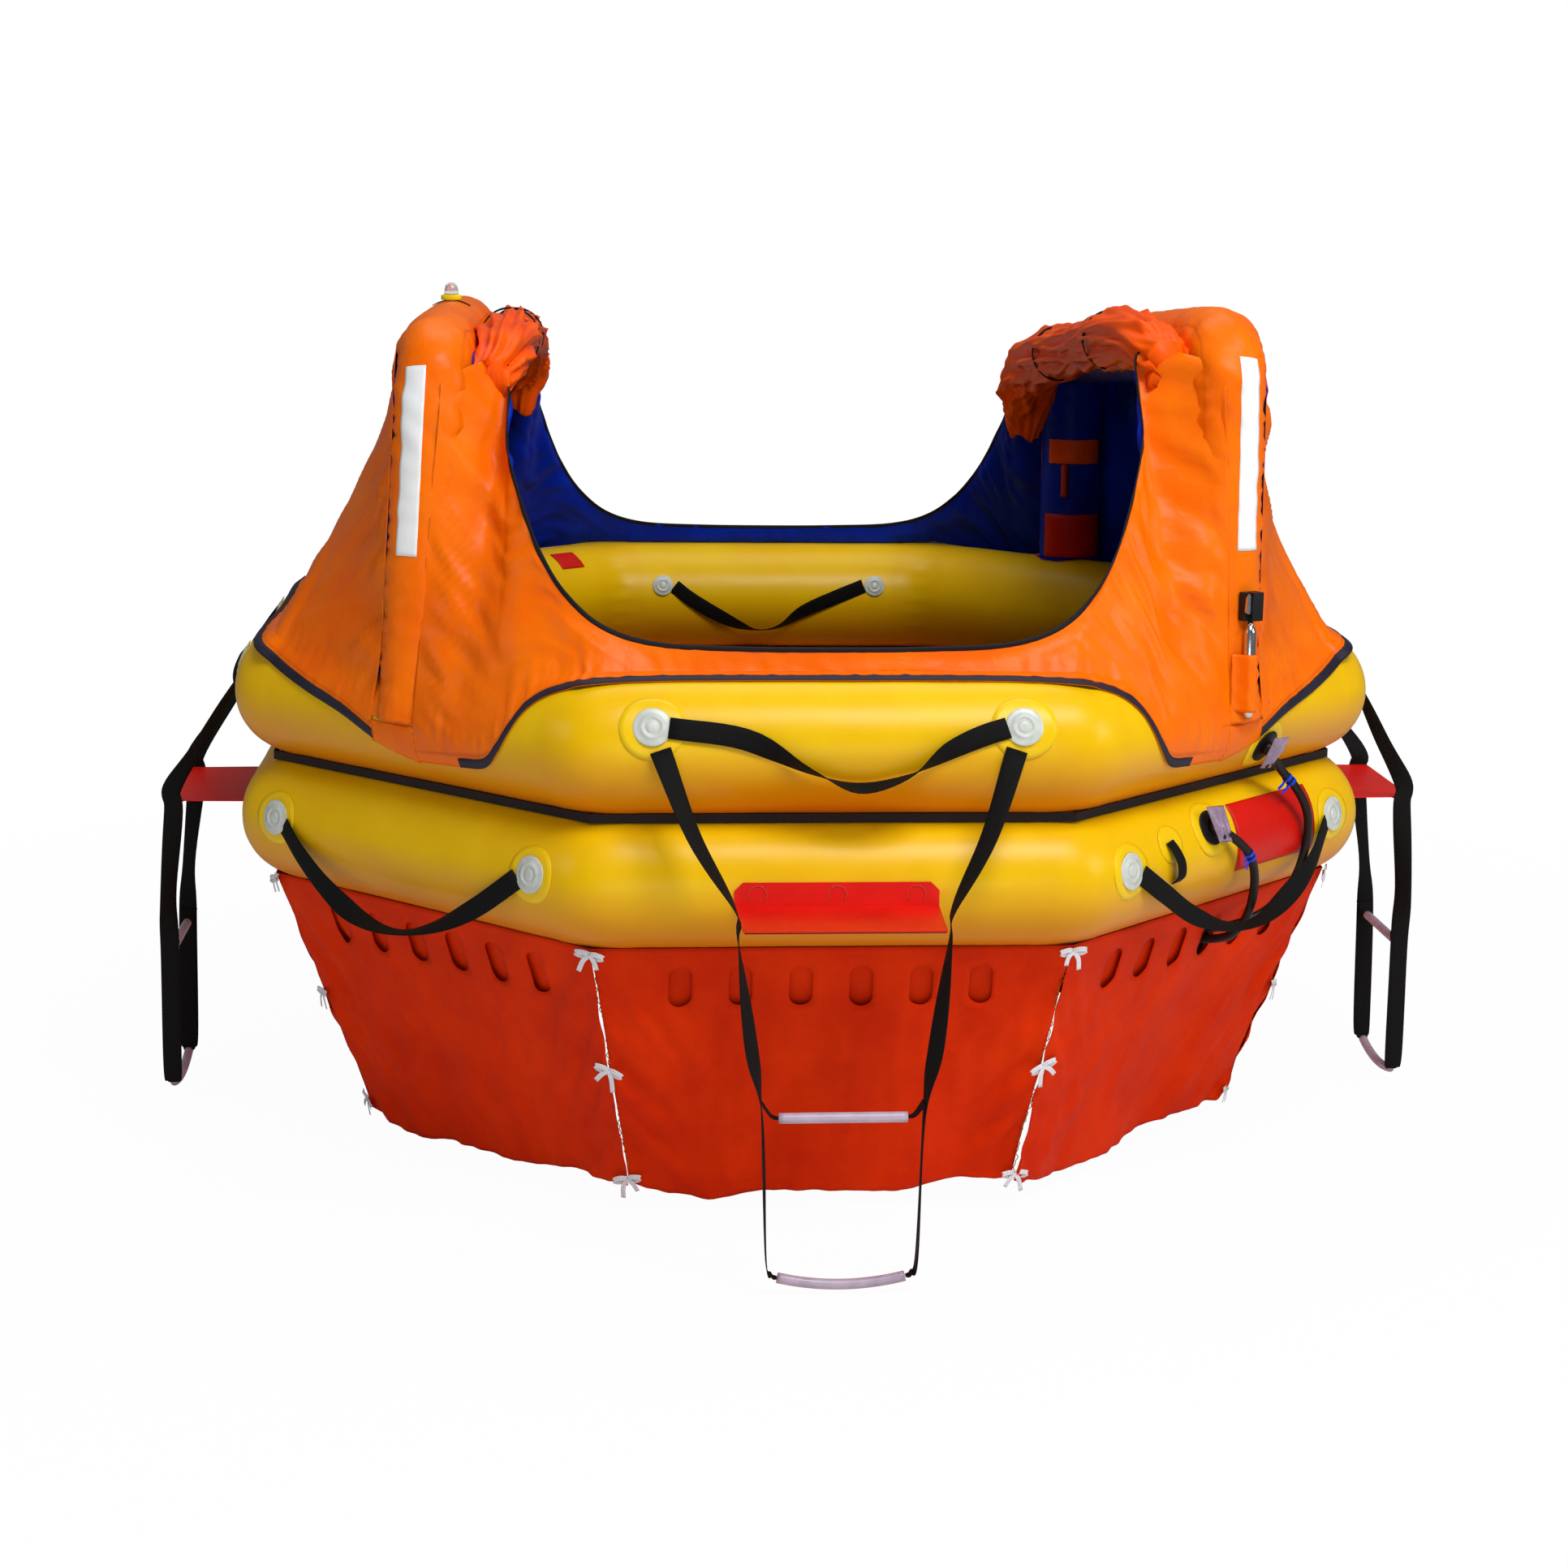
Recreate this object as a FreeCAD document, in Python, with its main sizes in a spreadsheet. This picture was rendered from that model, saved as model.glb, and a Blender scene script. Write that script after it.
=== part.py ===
"""Inflatable liferaft, ten to twelve seats, inflated, with its canopy rolled back and its skirt let down.

Millimetres. X points to the raft's right, Y to its back, Z up. The origin is the centre of the ring,
on the plane that the lower tube's underside touches.
"""

import FreeCAD, Part
import math
import os
import Sketcher

Vector = FreeCAD.Vector
Z = Vector(0, 0, 1)
doc = FreeCAD.newDocument("Liferaft")

# ---------------------------------------------------------------------------------------------
# Driving sizes
# ---------------------------------------------------------------------------------------------
sheet = doc.addObject("Spreadsheet::Sheet", "Sizes")
SIZES = [
    ("across_flats", 2620, "lower tube, outside to outside, across two flats of the octagon"),
    ("tube_dia", 300, "buoyancy tubes"),
    ("tube_press", 4, "each tube flattens by this where the two are welded together"),
    ("upper_setout", 8, "upper tube's centre line outside the lower one's"),
    ("joint_tape_setout", 67, "tape that closes the crevice, outside the lower centre line"),
    ("joint_tape_thick", 3, ""),
    ("clearance", 0.3, "between pieces that are laid or sewn on each other"),
    ("fabric", 1.3, "canopy and skirt cloth"),
    ("floor_lap", 12, "floor welded under the lower tube, outside its centre line"),
    ("floor_thick", 1.6, ""),
    ("skirt_setout", 71, "skirt's top edge outside the lower centre line"),
    ("skirt_taper", 207, "the skirt's hem is this much nearer the middle"),
    ("skirt_drop", 590, "height of the hung skirt at its corners"),
    ("skirt_hem_sag", 34, "hem lower in mid panel"),
    ("lacing_gap", 5, "between two skirt panels at a corner"),
    ("slot_wide", 50, "water slots of the skirt"),
    ("slot_tall", 100, ""),
    ("slot_clip", 16, "clipped corners of a slot"),
    ("slot_pitch", 128, ""),
    ("slot_count", 6, "slots in a panel"),
    ("slot_top", 48, "below the skirt's top edge"),
    ("flap_tall", 160, "cloth flap inside each panel that hangs behind its slots"),
    ("flap_top", 18, "below the skirt's top edge"),
    ("hose_notch", 64, "opening of the front right flap for the hoses, as wide as it is from the middle"),
    ("lacing_wide", 4, "yellow lacing cord of a corner"),
    ("tie_wide", 66, "white tape bow"),
    ("tie_drop", 42, ""),
    ("tie_thick", 3, ""),
    ("arch_dia", 165, "inflated arch in its sleeve"),
    ("arch_foot_out", 882, "arch foot from both centre planes"),
    ("arch_foot_rise", 3, "a leg ends this much above the upper tube's centre"),
    ("arch_upright", 40, "straight start of a leg before it leans in"),
    ("arch_bend", 100, "bend of the centre line at an arch shoulder"),
    ("left_lean", 46, "left arch leans in by this at the top"),
    ("left_front_rise", 787, "left arch, top centre line at the front shoulder, above the upper tube's centre"),
    ("left_back_rise", 780, ""),
    ("right_lean", 8, ""),
    ("right_front_rise", 824, "right arch stands higher at the front"),
    ("right_back_rise", 718, ""),
    ("right_toe", 50, "right arch's back foot nearer the middle than its front foot"),
    ("left_toe", 0, ""),
    ("canopy_rise", 46, "canopy band above the upper tube's top, mid front and mid back"),
    ("opening_half", 690, "half width of the opening beside the arches"),
    ("side_hollow", 44, "the side panels draw in by this between arch and tube"),
    ("edge_tape_wide", 22, "dark tape along the canopy's lower edge"),
    ("binding_wide", 12, "bound edge of the opening"),
    ("roll_dia", 118, "canopy roof rolled up along each arch"),
    ("webbing_wide", 45, ""),
    ("webbing_thick", 2, ""),
    ("patch_dia", 80, "moulded webbing patch"),
    ("patch_thick", 6, ""),
    ("patch_spread", 382, "ladder patches from a facet's middle"),
    ("patch_angle", 23, "their place round the upper tube, above its widest line"),
    ("line_spread", 412, "lifeline patches on the lower tube's corner facets"),
    ("line_angle", 9, ""),
    ("step_wide", 426, "boarding step at the tube"),
    ("step_reach", 215, "its tread stands out by this"),
    ("step_z", 126, ""),
    ("step_thick", 3, ""),
    ("flange_top", 176, "top of the step's welded flange"),
    ("rung_dia", 22, "plastic sleeve of a rung"),
    ("rung_length", 262, ""),
    ("rung_upper_z", -262, ""),
    ("rung_lower_z", -600, ""),
    ("rung_sag", 16, "middle of the lower rung"),
    ("hose_dia", 20, "inflation hoses"),
    ("cylinder_dia", 140, "gas cylinder under the floor"),
    ("cylinder_length", 560, "straight part"),
    ("inflator_tall", 62, "canopy inflator's body"),
    ("inflator_wide", 44, ""),
    ("inflator_deep", 30, ""),
    ("inflator_foot_rise", 82, "inflator's foot above the upper tube's crest"),
    ("lever_recess_wide", 15, "recess of the body that the lever lies in"),
    ("lever_recess_deep", 12, ""),
    ("lever_wide", 13, ""),
    ("lever_thick", 7, ""),
    ("lever_pivot_x", 7.5, "from the body's left side"),
    ("lever_pivot_z", 22, "from its underside"),
    ("lever_top_z", 60, ""),
    ("lever_pin_r", 2, ""),
    ("lever_bore_r", 2.08, "0.08 running clearance on the pin"),
    ("charge_dia", 27, "gas cartridge of the canopy inflator"),
    ("charge_length", 216, ""),
    ("light_wide", 50, "sea light's clip, across the arch"),
    ("light_deep", 34, ""),
    ("light_tall", 14, ""),
    ("light_lens_dia", 34, ""),
    ("light_lens_tall", 26, ""),
    ("pocket_drop", 111, "foot of the cartridge pocket below the upper tube's crest"),
    ("pocket_tall", 119, ""),
    ("leg_label_rise", 5, "label on the right back leg above the upper tube's crest"),
    ("leg_label_tall", 119, ""),
    ("knife_strip_rise", 264, "sewn strip that holds the knife, above the crest"),
    ("knife_strip_tall", 66, ""),
    ("knife_dia", 20, ""),
    ("knife_length", 90, ""),
    ("inner_spread", 300, "lifeline patches inside the back of the upper tube"),
    ("inner_patch_dia", 58, ""),
    ("valve_base_dia", 80, "inflation valve's welded base"),
    ("valve_base_thick", 5, ""),
    ("valve_body_dia", 32, "hose fitting that stands on it"),
    ("valve_body_tall", 24, ""),
    ("valve_cover_deep", 3, "clear film over the fitting"),
    ("bottle_valve_out", 1088, "gas cylinder's valve from the raft's centre"),
    ("bottle_neck_dia", 34, ""),
    ("bottle_neck", 20, ""),
    ("bottle_shoulder", 42, ""),
    ("bottle_valve_wide", 60, ""),
    ("bottle_valve_deep", 34, ""),
    ("bottle_valve_tall", 52, ""),
]
for row, (alias, number, note) in enumerate(SIZES, start=1):
    sheet.set(f"A{row}", str(number))
    sheet.setAlias(f"A{row}", alias)
    sheet.set(f"B{row}", note)
doc.recompute()


def size(text):
    """A size, or a sum of sizes, as a number."""
    return float(sheet.evalExpression(text))


CLEAR = size("clearance")
FABRIC = size("fabric")
TUBE_R = size("tube_dia") / 2
LOWER_OUT = size("across_flats") / 2 - TUBE_R
UPPER_OUT = LOWER_OUT + size("upper_setout")
LOWER_Z = TUBE_R
UPPER_Z = TUBE_R + 2 * (TUBE_R - size("tube_press"))
TAN = math.tan(math.radians(22.5))

# The same places as expressions, for the bound features.
LOWER = "(Sizes.across_flats - Sizes.tube_dia) / 2"
UPPER = f"({LOWER} + Sizes.upper_setout)"
NODES = []


def keep(piece, label):
    piece.Label = label
    NODES.append(piece)
    return piece


def shaped(label, shape):
    """A node of cloth or webbing, or a set of like pieces, whose shape is worked out here."""
    piece = doc.addObject("Part::Feature", label)
    piece.Shape = shape
    piece.Placement = FreeCAD.Placement()
    return keep(piece, label)


# ---------------------------------------------------------------------------------------------
# Places on the ring: facet 0 faces the front (-Y), 2 the right, 4 the back and 6 the left
# ---------------------------------------------------------------------------------------------
def outward(facet):
    turn = math.radians(45 * facet - 90)
    return Vector(math.cos(turn), math.sin(turn), 0)


def sideways(facet):
    out = outward(facet)
    return Vector(-out.y, out.x, 0)


def at(facet, along, out, z):
    return outward(facet) * out + sideways(facet) * along + Z * z


def on_tube(facet, along, angle, lift, upper=True):
    """A point over a tube's skin; angle is measured up from the tube's widest line."""
    centre, height = (UPPER_OUT, UPPER_Z) if upper else (LOWER_OUT, LOWER_Z)
    turn = math.radians(angle)
    reach = TUBE_R + lift
    return at(facet, along, centre + reach * math.cos(turn), height + reach * math.sin(turn))


def blend(a, b, t):
    return a + (b - a) * t


# ---------------------------------------------------------------------------------------------
# Cloth, webbing and bundles: thin closed solids through rows of points
# ---------------------------------------------------------------------------------------------
def unit(vector):
    return vector / vector.Length if vector.Length > 1e-9 else Vector(0, 0, 1)


def closed_solid(triangles):
    faces = [Part.Face(Part.makePolygon([a, b, c, a])) for a, b, c in triangles]
    solid = Part.Solid(Part.Shell(faces))
    if solid.Volume < 0:
        solid.reverse()
    return solid


def patchwork(quads):
    return [t for a, b, c, d in quads for t in ((a, b, c), (a, c, d))]


def lifted(rows, amount, inside):
    """The same rows moved off their surface, to the side that faces away from the point inside."""
    count, across = len(rows), len(rows[0])

    def normal(i, j):
        along = rows[min(i + 1, count - 1)][j] - rows[max(i - 1, 0)][j]
        over = rows[i][min(j + 1, across - 1)] - rows[i][max(j - 1, 0)]
        face = unit(along.cross(over))
        return face if face.dot(rows[i][j] - inside) > 0 else face * -1

    return [[rows[i][j] + normal(i, j) * amount for j in range(across)] for i in range(count)]


def cloth(rows, thick, inside):
    """A sheet through rows of points, thickened to the side that faces away from the point inside."""
    count, across = len(rows), len(rows[0])
    top = lifted(rows, thick, inside)
    quads = []
    for i in range(count - 1):
        for j in range(across - 1):
            a, b, c, d = (i, j), (i + 1, j), (i + 1, j + 1), (i, j + 1)
            quads.append([rows[p][q] for p, q in (a, b, c, d)])
            quads.append([top[p][q] for p, q in (a, b, c, d)])
        for j in (0, across - 1):
            quads.append((rows[i][j], rows[i + 1][j], top[i + 1][j], top[i][j]))
    for i in (0, count - 1):
        for j in range(across - 1):
            quads.append((rows[i][j], rows[i][j + 1], top[i][j + 1], top[i][j]))
    return closed_solid(patchwork(quads))


def strap(centres, across, wide, thick):
    """Webbing along a line of points; across gives its width's direction, and wide may differ, at each one."""
    widths = wide if isinstance(wide, list) else [wide] * len(centres)
    rings = []
    for i, centre in enumerate(centres):
        run = unit(centres[min(i + 1, len(centres) - 1)] - centres[max(i - 1, 0)])
        side = unit(across[i] - run * across[i].dot(run))
        face = run.cross(side)
        half, deep = side * (widths[i] / 2), face * (thick / 2)
        rings.append([centre + half + deep, centre - half + deep, centre - half - deep, centre + half - deep])
    triangles = []
    for lower, upper in zip(rings, rings[1:]):
        # Both broad faces are split the same way, so that a twisted run keeps its thickness.
        triangles += [(lower[0], lower[1], upper[1]), (lower[0], upper[1], upper[0])]
        triangles += [(lower[3], lower[2], upper[2]), (lower[3], upper[2], upper[3])]
        for i, j in ((1, 2), (3, 0)):
            triangles += [(lower[i], lower[j], upper[j]), (lower[i], upper[j], upper[i])]
    for ring in (rings[0], rings[-1]):
        triangles += [(ring[0], ring[1], ring[2]), (ring[0], ring[2], ring[3])]
    return closed_solid(triangles)


def tube_of(rings):
    """A closed solid through rings of points, flat at both ends."""
    sides = len(rings[0])
    quads = []
    for lower, upper in zip(rings, rings[1:]):
        for i in range(sides):
            j = (i + 1) % sides
            quads.append((lower[i], lower[j], upper[j], upper[i]))
    triangles = patchwork(quads)
    for ring in (rings[0], rings[-1]):
        triangles += [(ring[0], ring[i], ring[i + 1]) for i in range(1, sides - 1)]
    return closed_solid(triangles)


def plate(origin, across, up, wide, tall, thick):
    """A flat rectangular piece, its middle at origin, thickened away along across x up."""
    x, y = unit(across) * (wide / 2), unit(up) * (tall / 2)
    corners = [origin - x - y, origin + x - y, origin + x + y, origin - x + y]
    face = Part.Face(Part.makePolygon(corners + corners[:1]))
    return face.extrude(unit(across.cross(up)) * thick)


# ---------------------------------------------------------------------------------------------
# Sketches with every point tied to the sheet
# ---------------------------------------------------------------------------------------------
def origin_plane(body, role):
    return next(f for f in body.Origin.OriginFeatures if f.Role == role)


def new_sketch(body, name, role):
    sketch = body.newObject("Sketcher::SketchObject", name)
    sketch.AttachmentSupport = [(origin_plane(body, role), "")]
    sketch.MapMode = "FlatFace"
    return sketch


def tie(sketch, kind, geometry, end, text):
    """Hold one coordinate of a point to an expression; zero holds it to the axis."""
    number = size(text)
    if abs(number) < 1e-9:
        axis = -2 if kind == "DistanceX" else -1
        sketch.addConstraint(Sketcher.Constraint("PointOnObject", geometry, end, axis))
        return
    ends = (-1, 1, geometry, end) if number > 0 else (geometry, end, -1, 1)
    index = sketch.addConstraint(Sketcher.Constraint(kind, *ends, abs(number)))
    sketch.setExpression(f"Constraints[{index}]", text if number > 0 else f"-({text})")


def outline(sketch, points, closed=True):
    """Straight lines through points given as pairs of expressions."""
    spots = [Vector(size(x), size(y), 0) for x, y in points]
    count = len(points) if closed else len(points) - 1
    first = sketch.GeometryCount
    for i in range(count):
        sketch.addGeometry(Part.LineSegment(spots[i], spots[(i + 1) % len(spots)]))
    for i in range(count):
        tie(sketch, "DistanceX", first + i, 1, points[i][0])
        tie(sketch, "DistanceY", first + i, 1, points[i][1])
        if closed or i < count - 1:
            sketch.addConstraint(Sketcher.Constraint("Coincident", first + i, 2, first + (i + 1) % count, 1))
    if not closed:
        tie(sketch, "DistanceX", first + count - 1, 2, points[-1][0])
        tie(sketch, "DistanceY", first + count - 1, 2, points[-1][1])


def circle(sketch, x, y, radius):
    index = sketch.addGeometry(Part.Circle(Vector(size(x), size(y), 0), Z, size(radius)))
    tie(sketch, "DistanceX", index, 3, x)
    tie(sketch, "DistanceY", index, 3, y)
    held = sketch.addConstraint(Sketcher.Constraint("Radius", index, size(radius)))
    sketch.setExpression(f"Constraints[{held}]", radius)


def round_section(x, y, radius, sides):
    """A many-sided section about a centre, for a tube that is cut from flat gores."""
    turns = [360 * (i + 0.5) / sides for i in range(sides)]
    return [(f"{x} + {radius} * cos({turn} deg)", f"{y} + {radius} * sin({turn} deg)") for turn in turns]


def new_body(name):
    return doc.addObject("PartDesign::Body", name)


def copies(label, source, places):
    """A node that holds the same piece at several places."""
    shapes = []
    for place in places:
        shape = source.Shape.copy()
        shape.Placement = place.multiply(shape.Placement)
        shapes.append(shape)
    return shaped(label, Part.makeCompound(shapes))


def frame_at(origin, x_axis, y_axis):
    """A placement whose X and Y run along the given directions."""
    x_axis = unit(x_axis)
    z_axis = unit(x_axis.cross(y_axis))
    y_axis = z_axis.cross(x_axis)
    matrix = FreeCAD.Matrix(
        x_axis.x, y_axis.x, z_axis.x, origin.x,
        x_axis.y, y_axis.y, z_axis.y, origin.y,
        x_axis.z, y_axis.z, z_axis.z, origin.z,
        0, 0, 0, 1)
    return FreeCAD.Placement(matrix)


# ---------------------------------------------------------------------------------------------
# Buoyancy tubes: two octagonal rings, welded flat to each other
# ---------------------------------------------------------------------------------------------
def buoyancy_tube(label, out, flat_side):
    """A mitred ring; flat_side is +1 where the flat weld is on top, -1 underneath."""
    body = new_body(label)
    half = f"{out} * tan(22.5 deg)"
    path = new_sketch(body, f"{label}_path", "XY_Plane")
    corners = [("0", f"-{out}")]
    for x, y in ((half, f"-{out}"), (out, f"-{half}"), (out, half), (half, out),
                 (f"-{half}", out), (f"-{out}", half), (f"-{out}", f"-{half}"), (f"-{half}", f"-{out}")):
        corners.append((x, y))
    outline(path, corners)
    section = new_sketch(body, f"{label}_section", "YZ_Plane")
    height = TUBE_R - size("tube_press")
    tilt = math.asin(height / TUBE_R)
    centre = Vector(-size(out), 0, 0)
    start, end = (math.pi - tilt, 2 * math.pi + tilt) if flat_side > 0 else (-tilt, math.pi + tilt)
    arc = Part.ArcOfCircle(Part.Circle(centre, Z, TUBE_R), start, end)
    section.addGeometry(arc)
    section.addGeometry(Part.LineSegment(arc.EndPoint, arc.StartPoint))
    section.addConstraint(Sketcher.Constraint("Coincident", 0, 2, 1, 1))
    section.addConstraint(Sketcher.Constraint("Coincident", 1, 2, 0, 1))
    section.addConstraint(Sketcher.Constraint("Horizontal", 1))
    tie(section, "DistanceX", 0, 3, f"-{out}")
    tie(section, "DistanceY", 0, 3, "0")
    held = section.addConstraint(Sketcher.Constraint("Radius", 0, TUBE_R))
    section.setExpression(f"Constraints[{held}]", "Sizes.tube_dia / 2")
    weld = "Sizes.tube_dia / 2 - Sizes.tube_press"
    tie(section, "DistanceY", 1, 1, weld if flat_side > 0 else f"-({weld})")
    ring = body.newObject("PartDesign::AdditivePipe", f"{label}_ring")
    ring.Profile = section
    ring.Spine = path
    ring.Transition = "Right corner"
    body.Placement.Base = Vector(0, 0, LOWER_Z if flat_side > 0 else UPPER_Z)
    body.setExpression("Placement.Base.z", "Sizes.tube_dia / 2" if flat_side > 0
                       else "Sizes.tube_dia * 3 / 2 - 2 * Sizes.tube_press")
    return keep(body, label)


buoyancy_tube("lower_tube", LOWER, +1)
buoyancy_tube("upper_tube", UPPER, -1)


def octagon(name, out, low, tall):
    """An eight-sided plate; out is its distance to a flat."""
    prism = doc.addObject("Part::Prism", name)
    prism.Polygon = 8
    prism.setExpression("Circumradius", f"({out}) / cos(22.5 deg)")
    prism.setExpression("Height", tall)
    prism.Placement = FreeCAD.Placement(Vector(0, 0, size(low)), FreeCAD.Rotation(Z, 22.5))
    prism.setExpression("Placement.Base.z", low)
    return prism


# Tape over the crevice between the tubes: it fills the gap at its own distance out.
GAP_LOW = "(Sizes.tube_dia / 2 + sqrt((Sizes.tube_dia / 2) ^ 2 - Sizes.joint_tape_setout ^ 2) + Sizes.clearance)"
GAP_HIGH = ("(Sizes.tube_dia * 3 / 2 - 2 * Sizes.tube_press - Sizes.clearance - sqrt((Sizes.tube_dia / 2) ^ 2"
            " - (Sizes.joint_tape_setout - Sizes.upper_setout) ^ 2))")
tape_out = f"{LOWER} + Sizes.joint_tape_setout"
tape = doc.addObject("Part::Cut", "joint_tape")
tape.Base = octagon("tape_outside", f"{tape_out} + Sizes.joint_tape_thick", GAP_LOW, f"{GAP_HIGH} - {GAP_LOW}")
tape.Tool = octagon("tape_inside", tape_out, GAP_LOW, f"{GAP_HIGH} - {GAP_LOW}")
keep(tape, "joint_tape")

keep(octagon("floor", f"{LOWER} + Sizes.floor_lap", "-Sizes.clearance - Sizes.floor_thick", "Sizes.floor_thick"),
     "floor")

# ---------------------------------------------------------------------------------------------
# Skirt: eight tapered cloth panels hung under the lower tube and laced at the corners
# ---------------------------------------------------------------------------------------------
skirt_out = LOWER_OUT + size("skirt_setout")
skirt_top = LOWER_Z - math.sqrt(TUBE_R ** 2 - size("skirt_setout") ** 2) - 2 * CLEAR
skirt_slope = math.hypot(size("skirt_taper"), size("skirt_drop"))
PANEL_TOP = f"(({LOWER} + Sizes.skirt_setout) * tan(22.5 deg) - Sizes.lacing_gap / 2)"
PANEL_LOW = f"({PANEL_TOP} - Sizes.skirt_taper * tan(22.5 deg))"
SLOPE = "sqrt(Sizes.skirt_taper ^ 2 + Sizes.skirt_drop ^ 2)"

panel = new_body("skirt_panel")
panel_face = new_sketch(panel, "skirt_panel_face", "XY_Plane")
outline(panel_face, [
    (f"-{PANEL_TOP}", "0"), (f"-{PANEL_LOW}", f"-{SLOPE}"),
    (f"-{PANEL_LOW} * 0.55", f"-{SLOPE} - Sizes.skirt_hem_sag"),
    (f"{PANEL_LOW} * 0.1", f"-{SLOPE} - Sizes.skirt_hem_sag * 0.8"),
    (f"{PANEL_LOW} * 0.6", f"-{SLOPE} - Sizes.skirt_hem_sag * 0.3"),
    (PANEL_LOW, f"-{SLOPE}"), (PANEL_TOP, "0")])
cut_panel = panel.newObject("PartDesign::Pad", "skirt_panel_cloth")
cut_panel.Profile = panel_face
cut_panel.setExpression("Length", "Sizes.fabric")
doc.recompute()
slot_face = new_sketch(panel, "skirt_slot", "XY_Plane")
first = "-(Sizes.slot_count - 1) / 2 * Sizes.slot_pitch"
left, right = f"({first} - Sizes.slot_wide / 2)", f"({first} + Sizes.slot_wide / 2)"
high, low = "-Sizes.slot_top", "-(Sizes.slot_top + Sizes.slot_tall)"
clip = "Sizes.slot_clip"
outline(slot_face, [
    (f"{left} + {clip}", high), (left, f"{high} - {clip}"), (left, f"{low} + {clip}"), (f"{left} + {clip}", low),
    (f"{right} - {clip}", low), (right, f"{low} + {clip}"), (right, f"{high} - {clip}"), (f"{right} - {clip}", high)])
slot = panel.newObject("PartDesign::Pocket", "skirt_slot_cut")
slot.Profile = slot_face
slot.Type = "ThroughAll"
slot.Midplane = True
doc.recompute()
slots = panel.newObject("PartDesign::LinearPattern", "skirt_slots")
slots.Originals = [slot]
slots.Direction = (slot_face, ["H_Axis"])
slots.setExpression("Length", "Sizes.slot_pitch * (Sizes.slot_count - 1)")
slots.setExpression("Occurrences", "Sizes.slot_count")
panel.Tip = slots
doc.recompute()

flap = doc.addObject("Part::Box", "skirt_flap")
flap.setExpression("Length", "Sizes.slot_pitch * Sizes.slot_count")
flap.setExpression("Width", "Sizes.flap_tall")
flap.setExpression("Height", "Sizes.fabric")
notch = doc.addObject("Part::Box", "hose_notch")
notch.setExpression("Length", "Sizes.hose_notch")
notch.setExpression("Width", "Sizes.flap_tall")
notch.setExpression("Height", "Sizes.fabric")
notch.setExpression("Placement.Base.x", "Sizes.slot_pitch * Sizes.slot_count / 2 + Sizes.hose_notch / 2")
hose_flap = doc.addObject("Part::Cut", "hose_flap")
hose_flap.Base, hose_flap.Tool = flap, notch
behind = FreeCAD.Placement(
    Vector(-size("slot_pitch * slot_count") / 2, -size("flap_top + flap_tall"), -FABRIC - CLEAR), FreeCAD.Rotation())
doc.recompute()

panel_places = []
for facet in range(8):
    down = at(facet, 0, -size("skirt_taper"), -size("skirt_drop"))
    panel_places.append(frame_at(at(facet, 0, skirt_out, skirt_top), sideways(facet), down * -1))
copies("skirt_panels", panel, panel_places)
flaps = []
for facet, place in enumerate(panel_places):
    shape = (hose_flap if facet == 1 else flap).Shape.copy()
    shape.Placement = place.multiply(behind)
    flaps.append(shape)
shaped("skirt_flaps", Part.makeCompound(flaps))


def skirt_corner(corner, drop, lift):
    """A point over the lacing line of a corner, drop down its length, lift outside it."""
    turn = math.radians(45 * corner - 67.5)
    out = Vector(math.cos(turn), math.sin(turn), 0)
    part = drop / size("skirt_drop")
    reach = (skirt_out - size("skirt_taper") * part) / math.cos(math.radians(22.5)) + lift
    return out * reach + Z * (skirt_top - drop), out


laces = []
for corner in range(8):
    top_end, out = skirt_corner(corner, 4, 0)
    low_end, out = skirt_corner(corner, size("skirt_drop") - 4, 0)
    across = out.cross(Z)
    laces.append(strap([top_end, low_end], [across, across], size("lacing_wide"), 2))
shaped("skirt_lacing", Part.makeCompound(laces))

bow = new_body("bow")
bow_face = new_sketch(bow, "bow_face", "XY_Plane")
outline(bow_face, [
    ("-Sizes.tie_wide / 2", "8"), ("-Sizes.tie_wide / 2", "-7"), ("-12", "-Sizes.tie_drop"), ("4", "-8"),
    ("Sizes.tie_wide / 2", "-6"), ("Sizes.tie_wide / 2", "10")])
bow_tape = bow.newObject("PartDesign::Pad", "bow_tape")
bow_tape.Profile = bow_face
bow_tape.setExpression("Length", "Sizes.tie_thick")
doc.recompute()
bows = []
for corner in range(8):
    for share in (0.02, 0.5, 0.97):
        spot, out = skirt_corner(corner, size("skirt_drop") * share, 1 + 2 * CLEAR)
        bows.append(frame_at(spot, out.cross(Z) * -1, skirt_corner(corner, 0, 0)[0] - skirt_corner(corner, 9, 0)[0]))
copies("skirt_ties", bow, bows)

# ---------------------------------------------------------------------------------------------
# Arches: two inflated arches in their sewn sleeves, standing on the upper tube's corner facets
# ---------------------------------------------------------------------------------------------
ARCHES = {"left": -1, "right": 1}
ARCH_GORES = 20


def arch_points(side):
    """Expressions for the arch's centre line, in its own leaning plane, from front foot to back foot."""
    foot, bend = "Sizes.arch_foot_out", "Sizes.arch_bend"
    inner = f"(Sizes.arch_foot_out - Sizes.{side}_lean)"
    front, back = f"(Sizes.{side}_front_rise - Sizes.arch_foot_rise)", f"(Sizes.{side}_back_rise - Sizes.arch_foot_rise)"
    return [(f"-{foot}", "0"), (f"-{foot}", "Sizes.arch_upright"), (f"-{inner}", f"{front} - {bend}"),
            (f"-{inner} + {bend} * 0.29", f"{front} - {bend} * 0.29"), (f"-{inner} + {bend}", front),
            (f"{inner} - {bend}", back), (f"{inner} - {bend} * 0.29", f"{back} - {bend} * 0.29"),
            (inner, f"{back} - {bend}"), (foot, "0")]


def arch_lean(side):
    """Angle by which the arch's plane leans in."""
    return math.atan2(size(f"{side}_lean"), size(f"{side}_front_rise - arch_foot_rise"))


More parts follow.
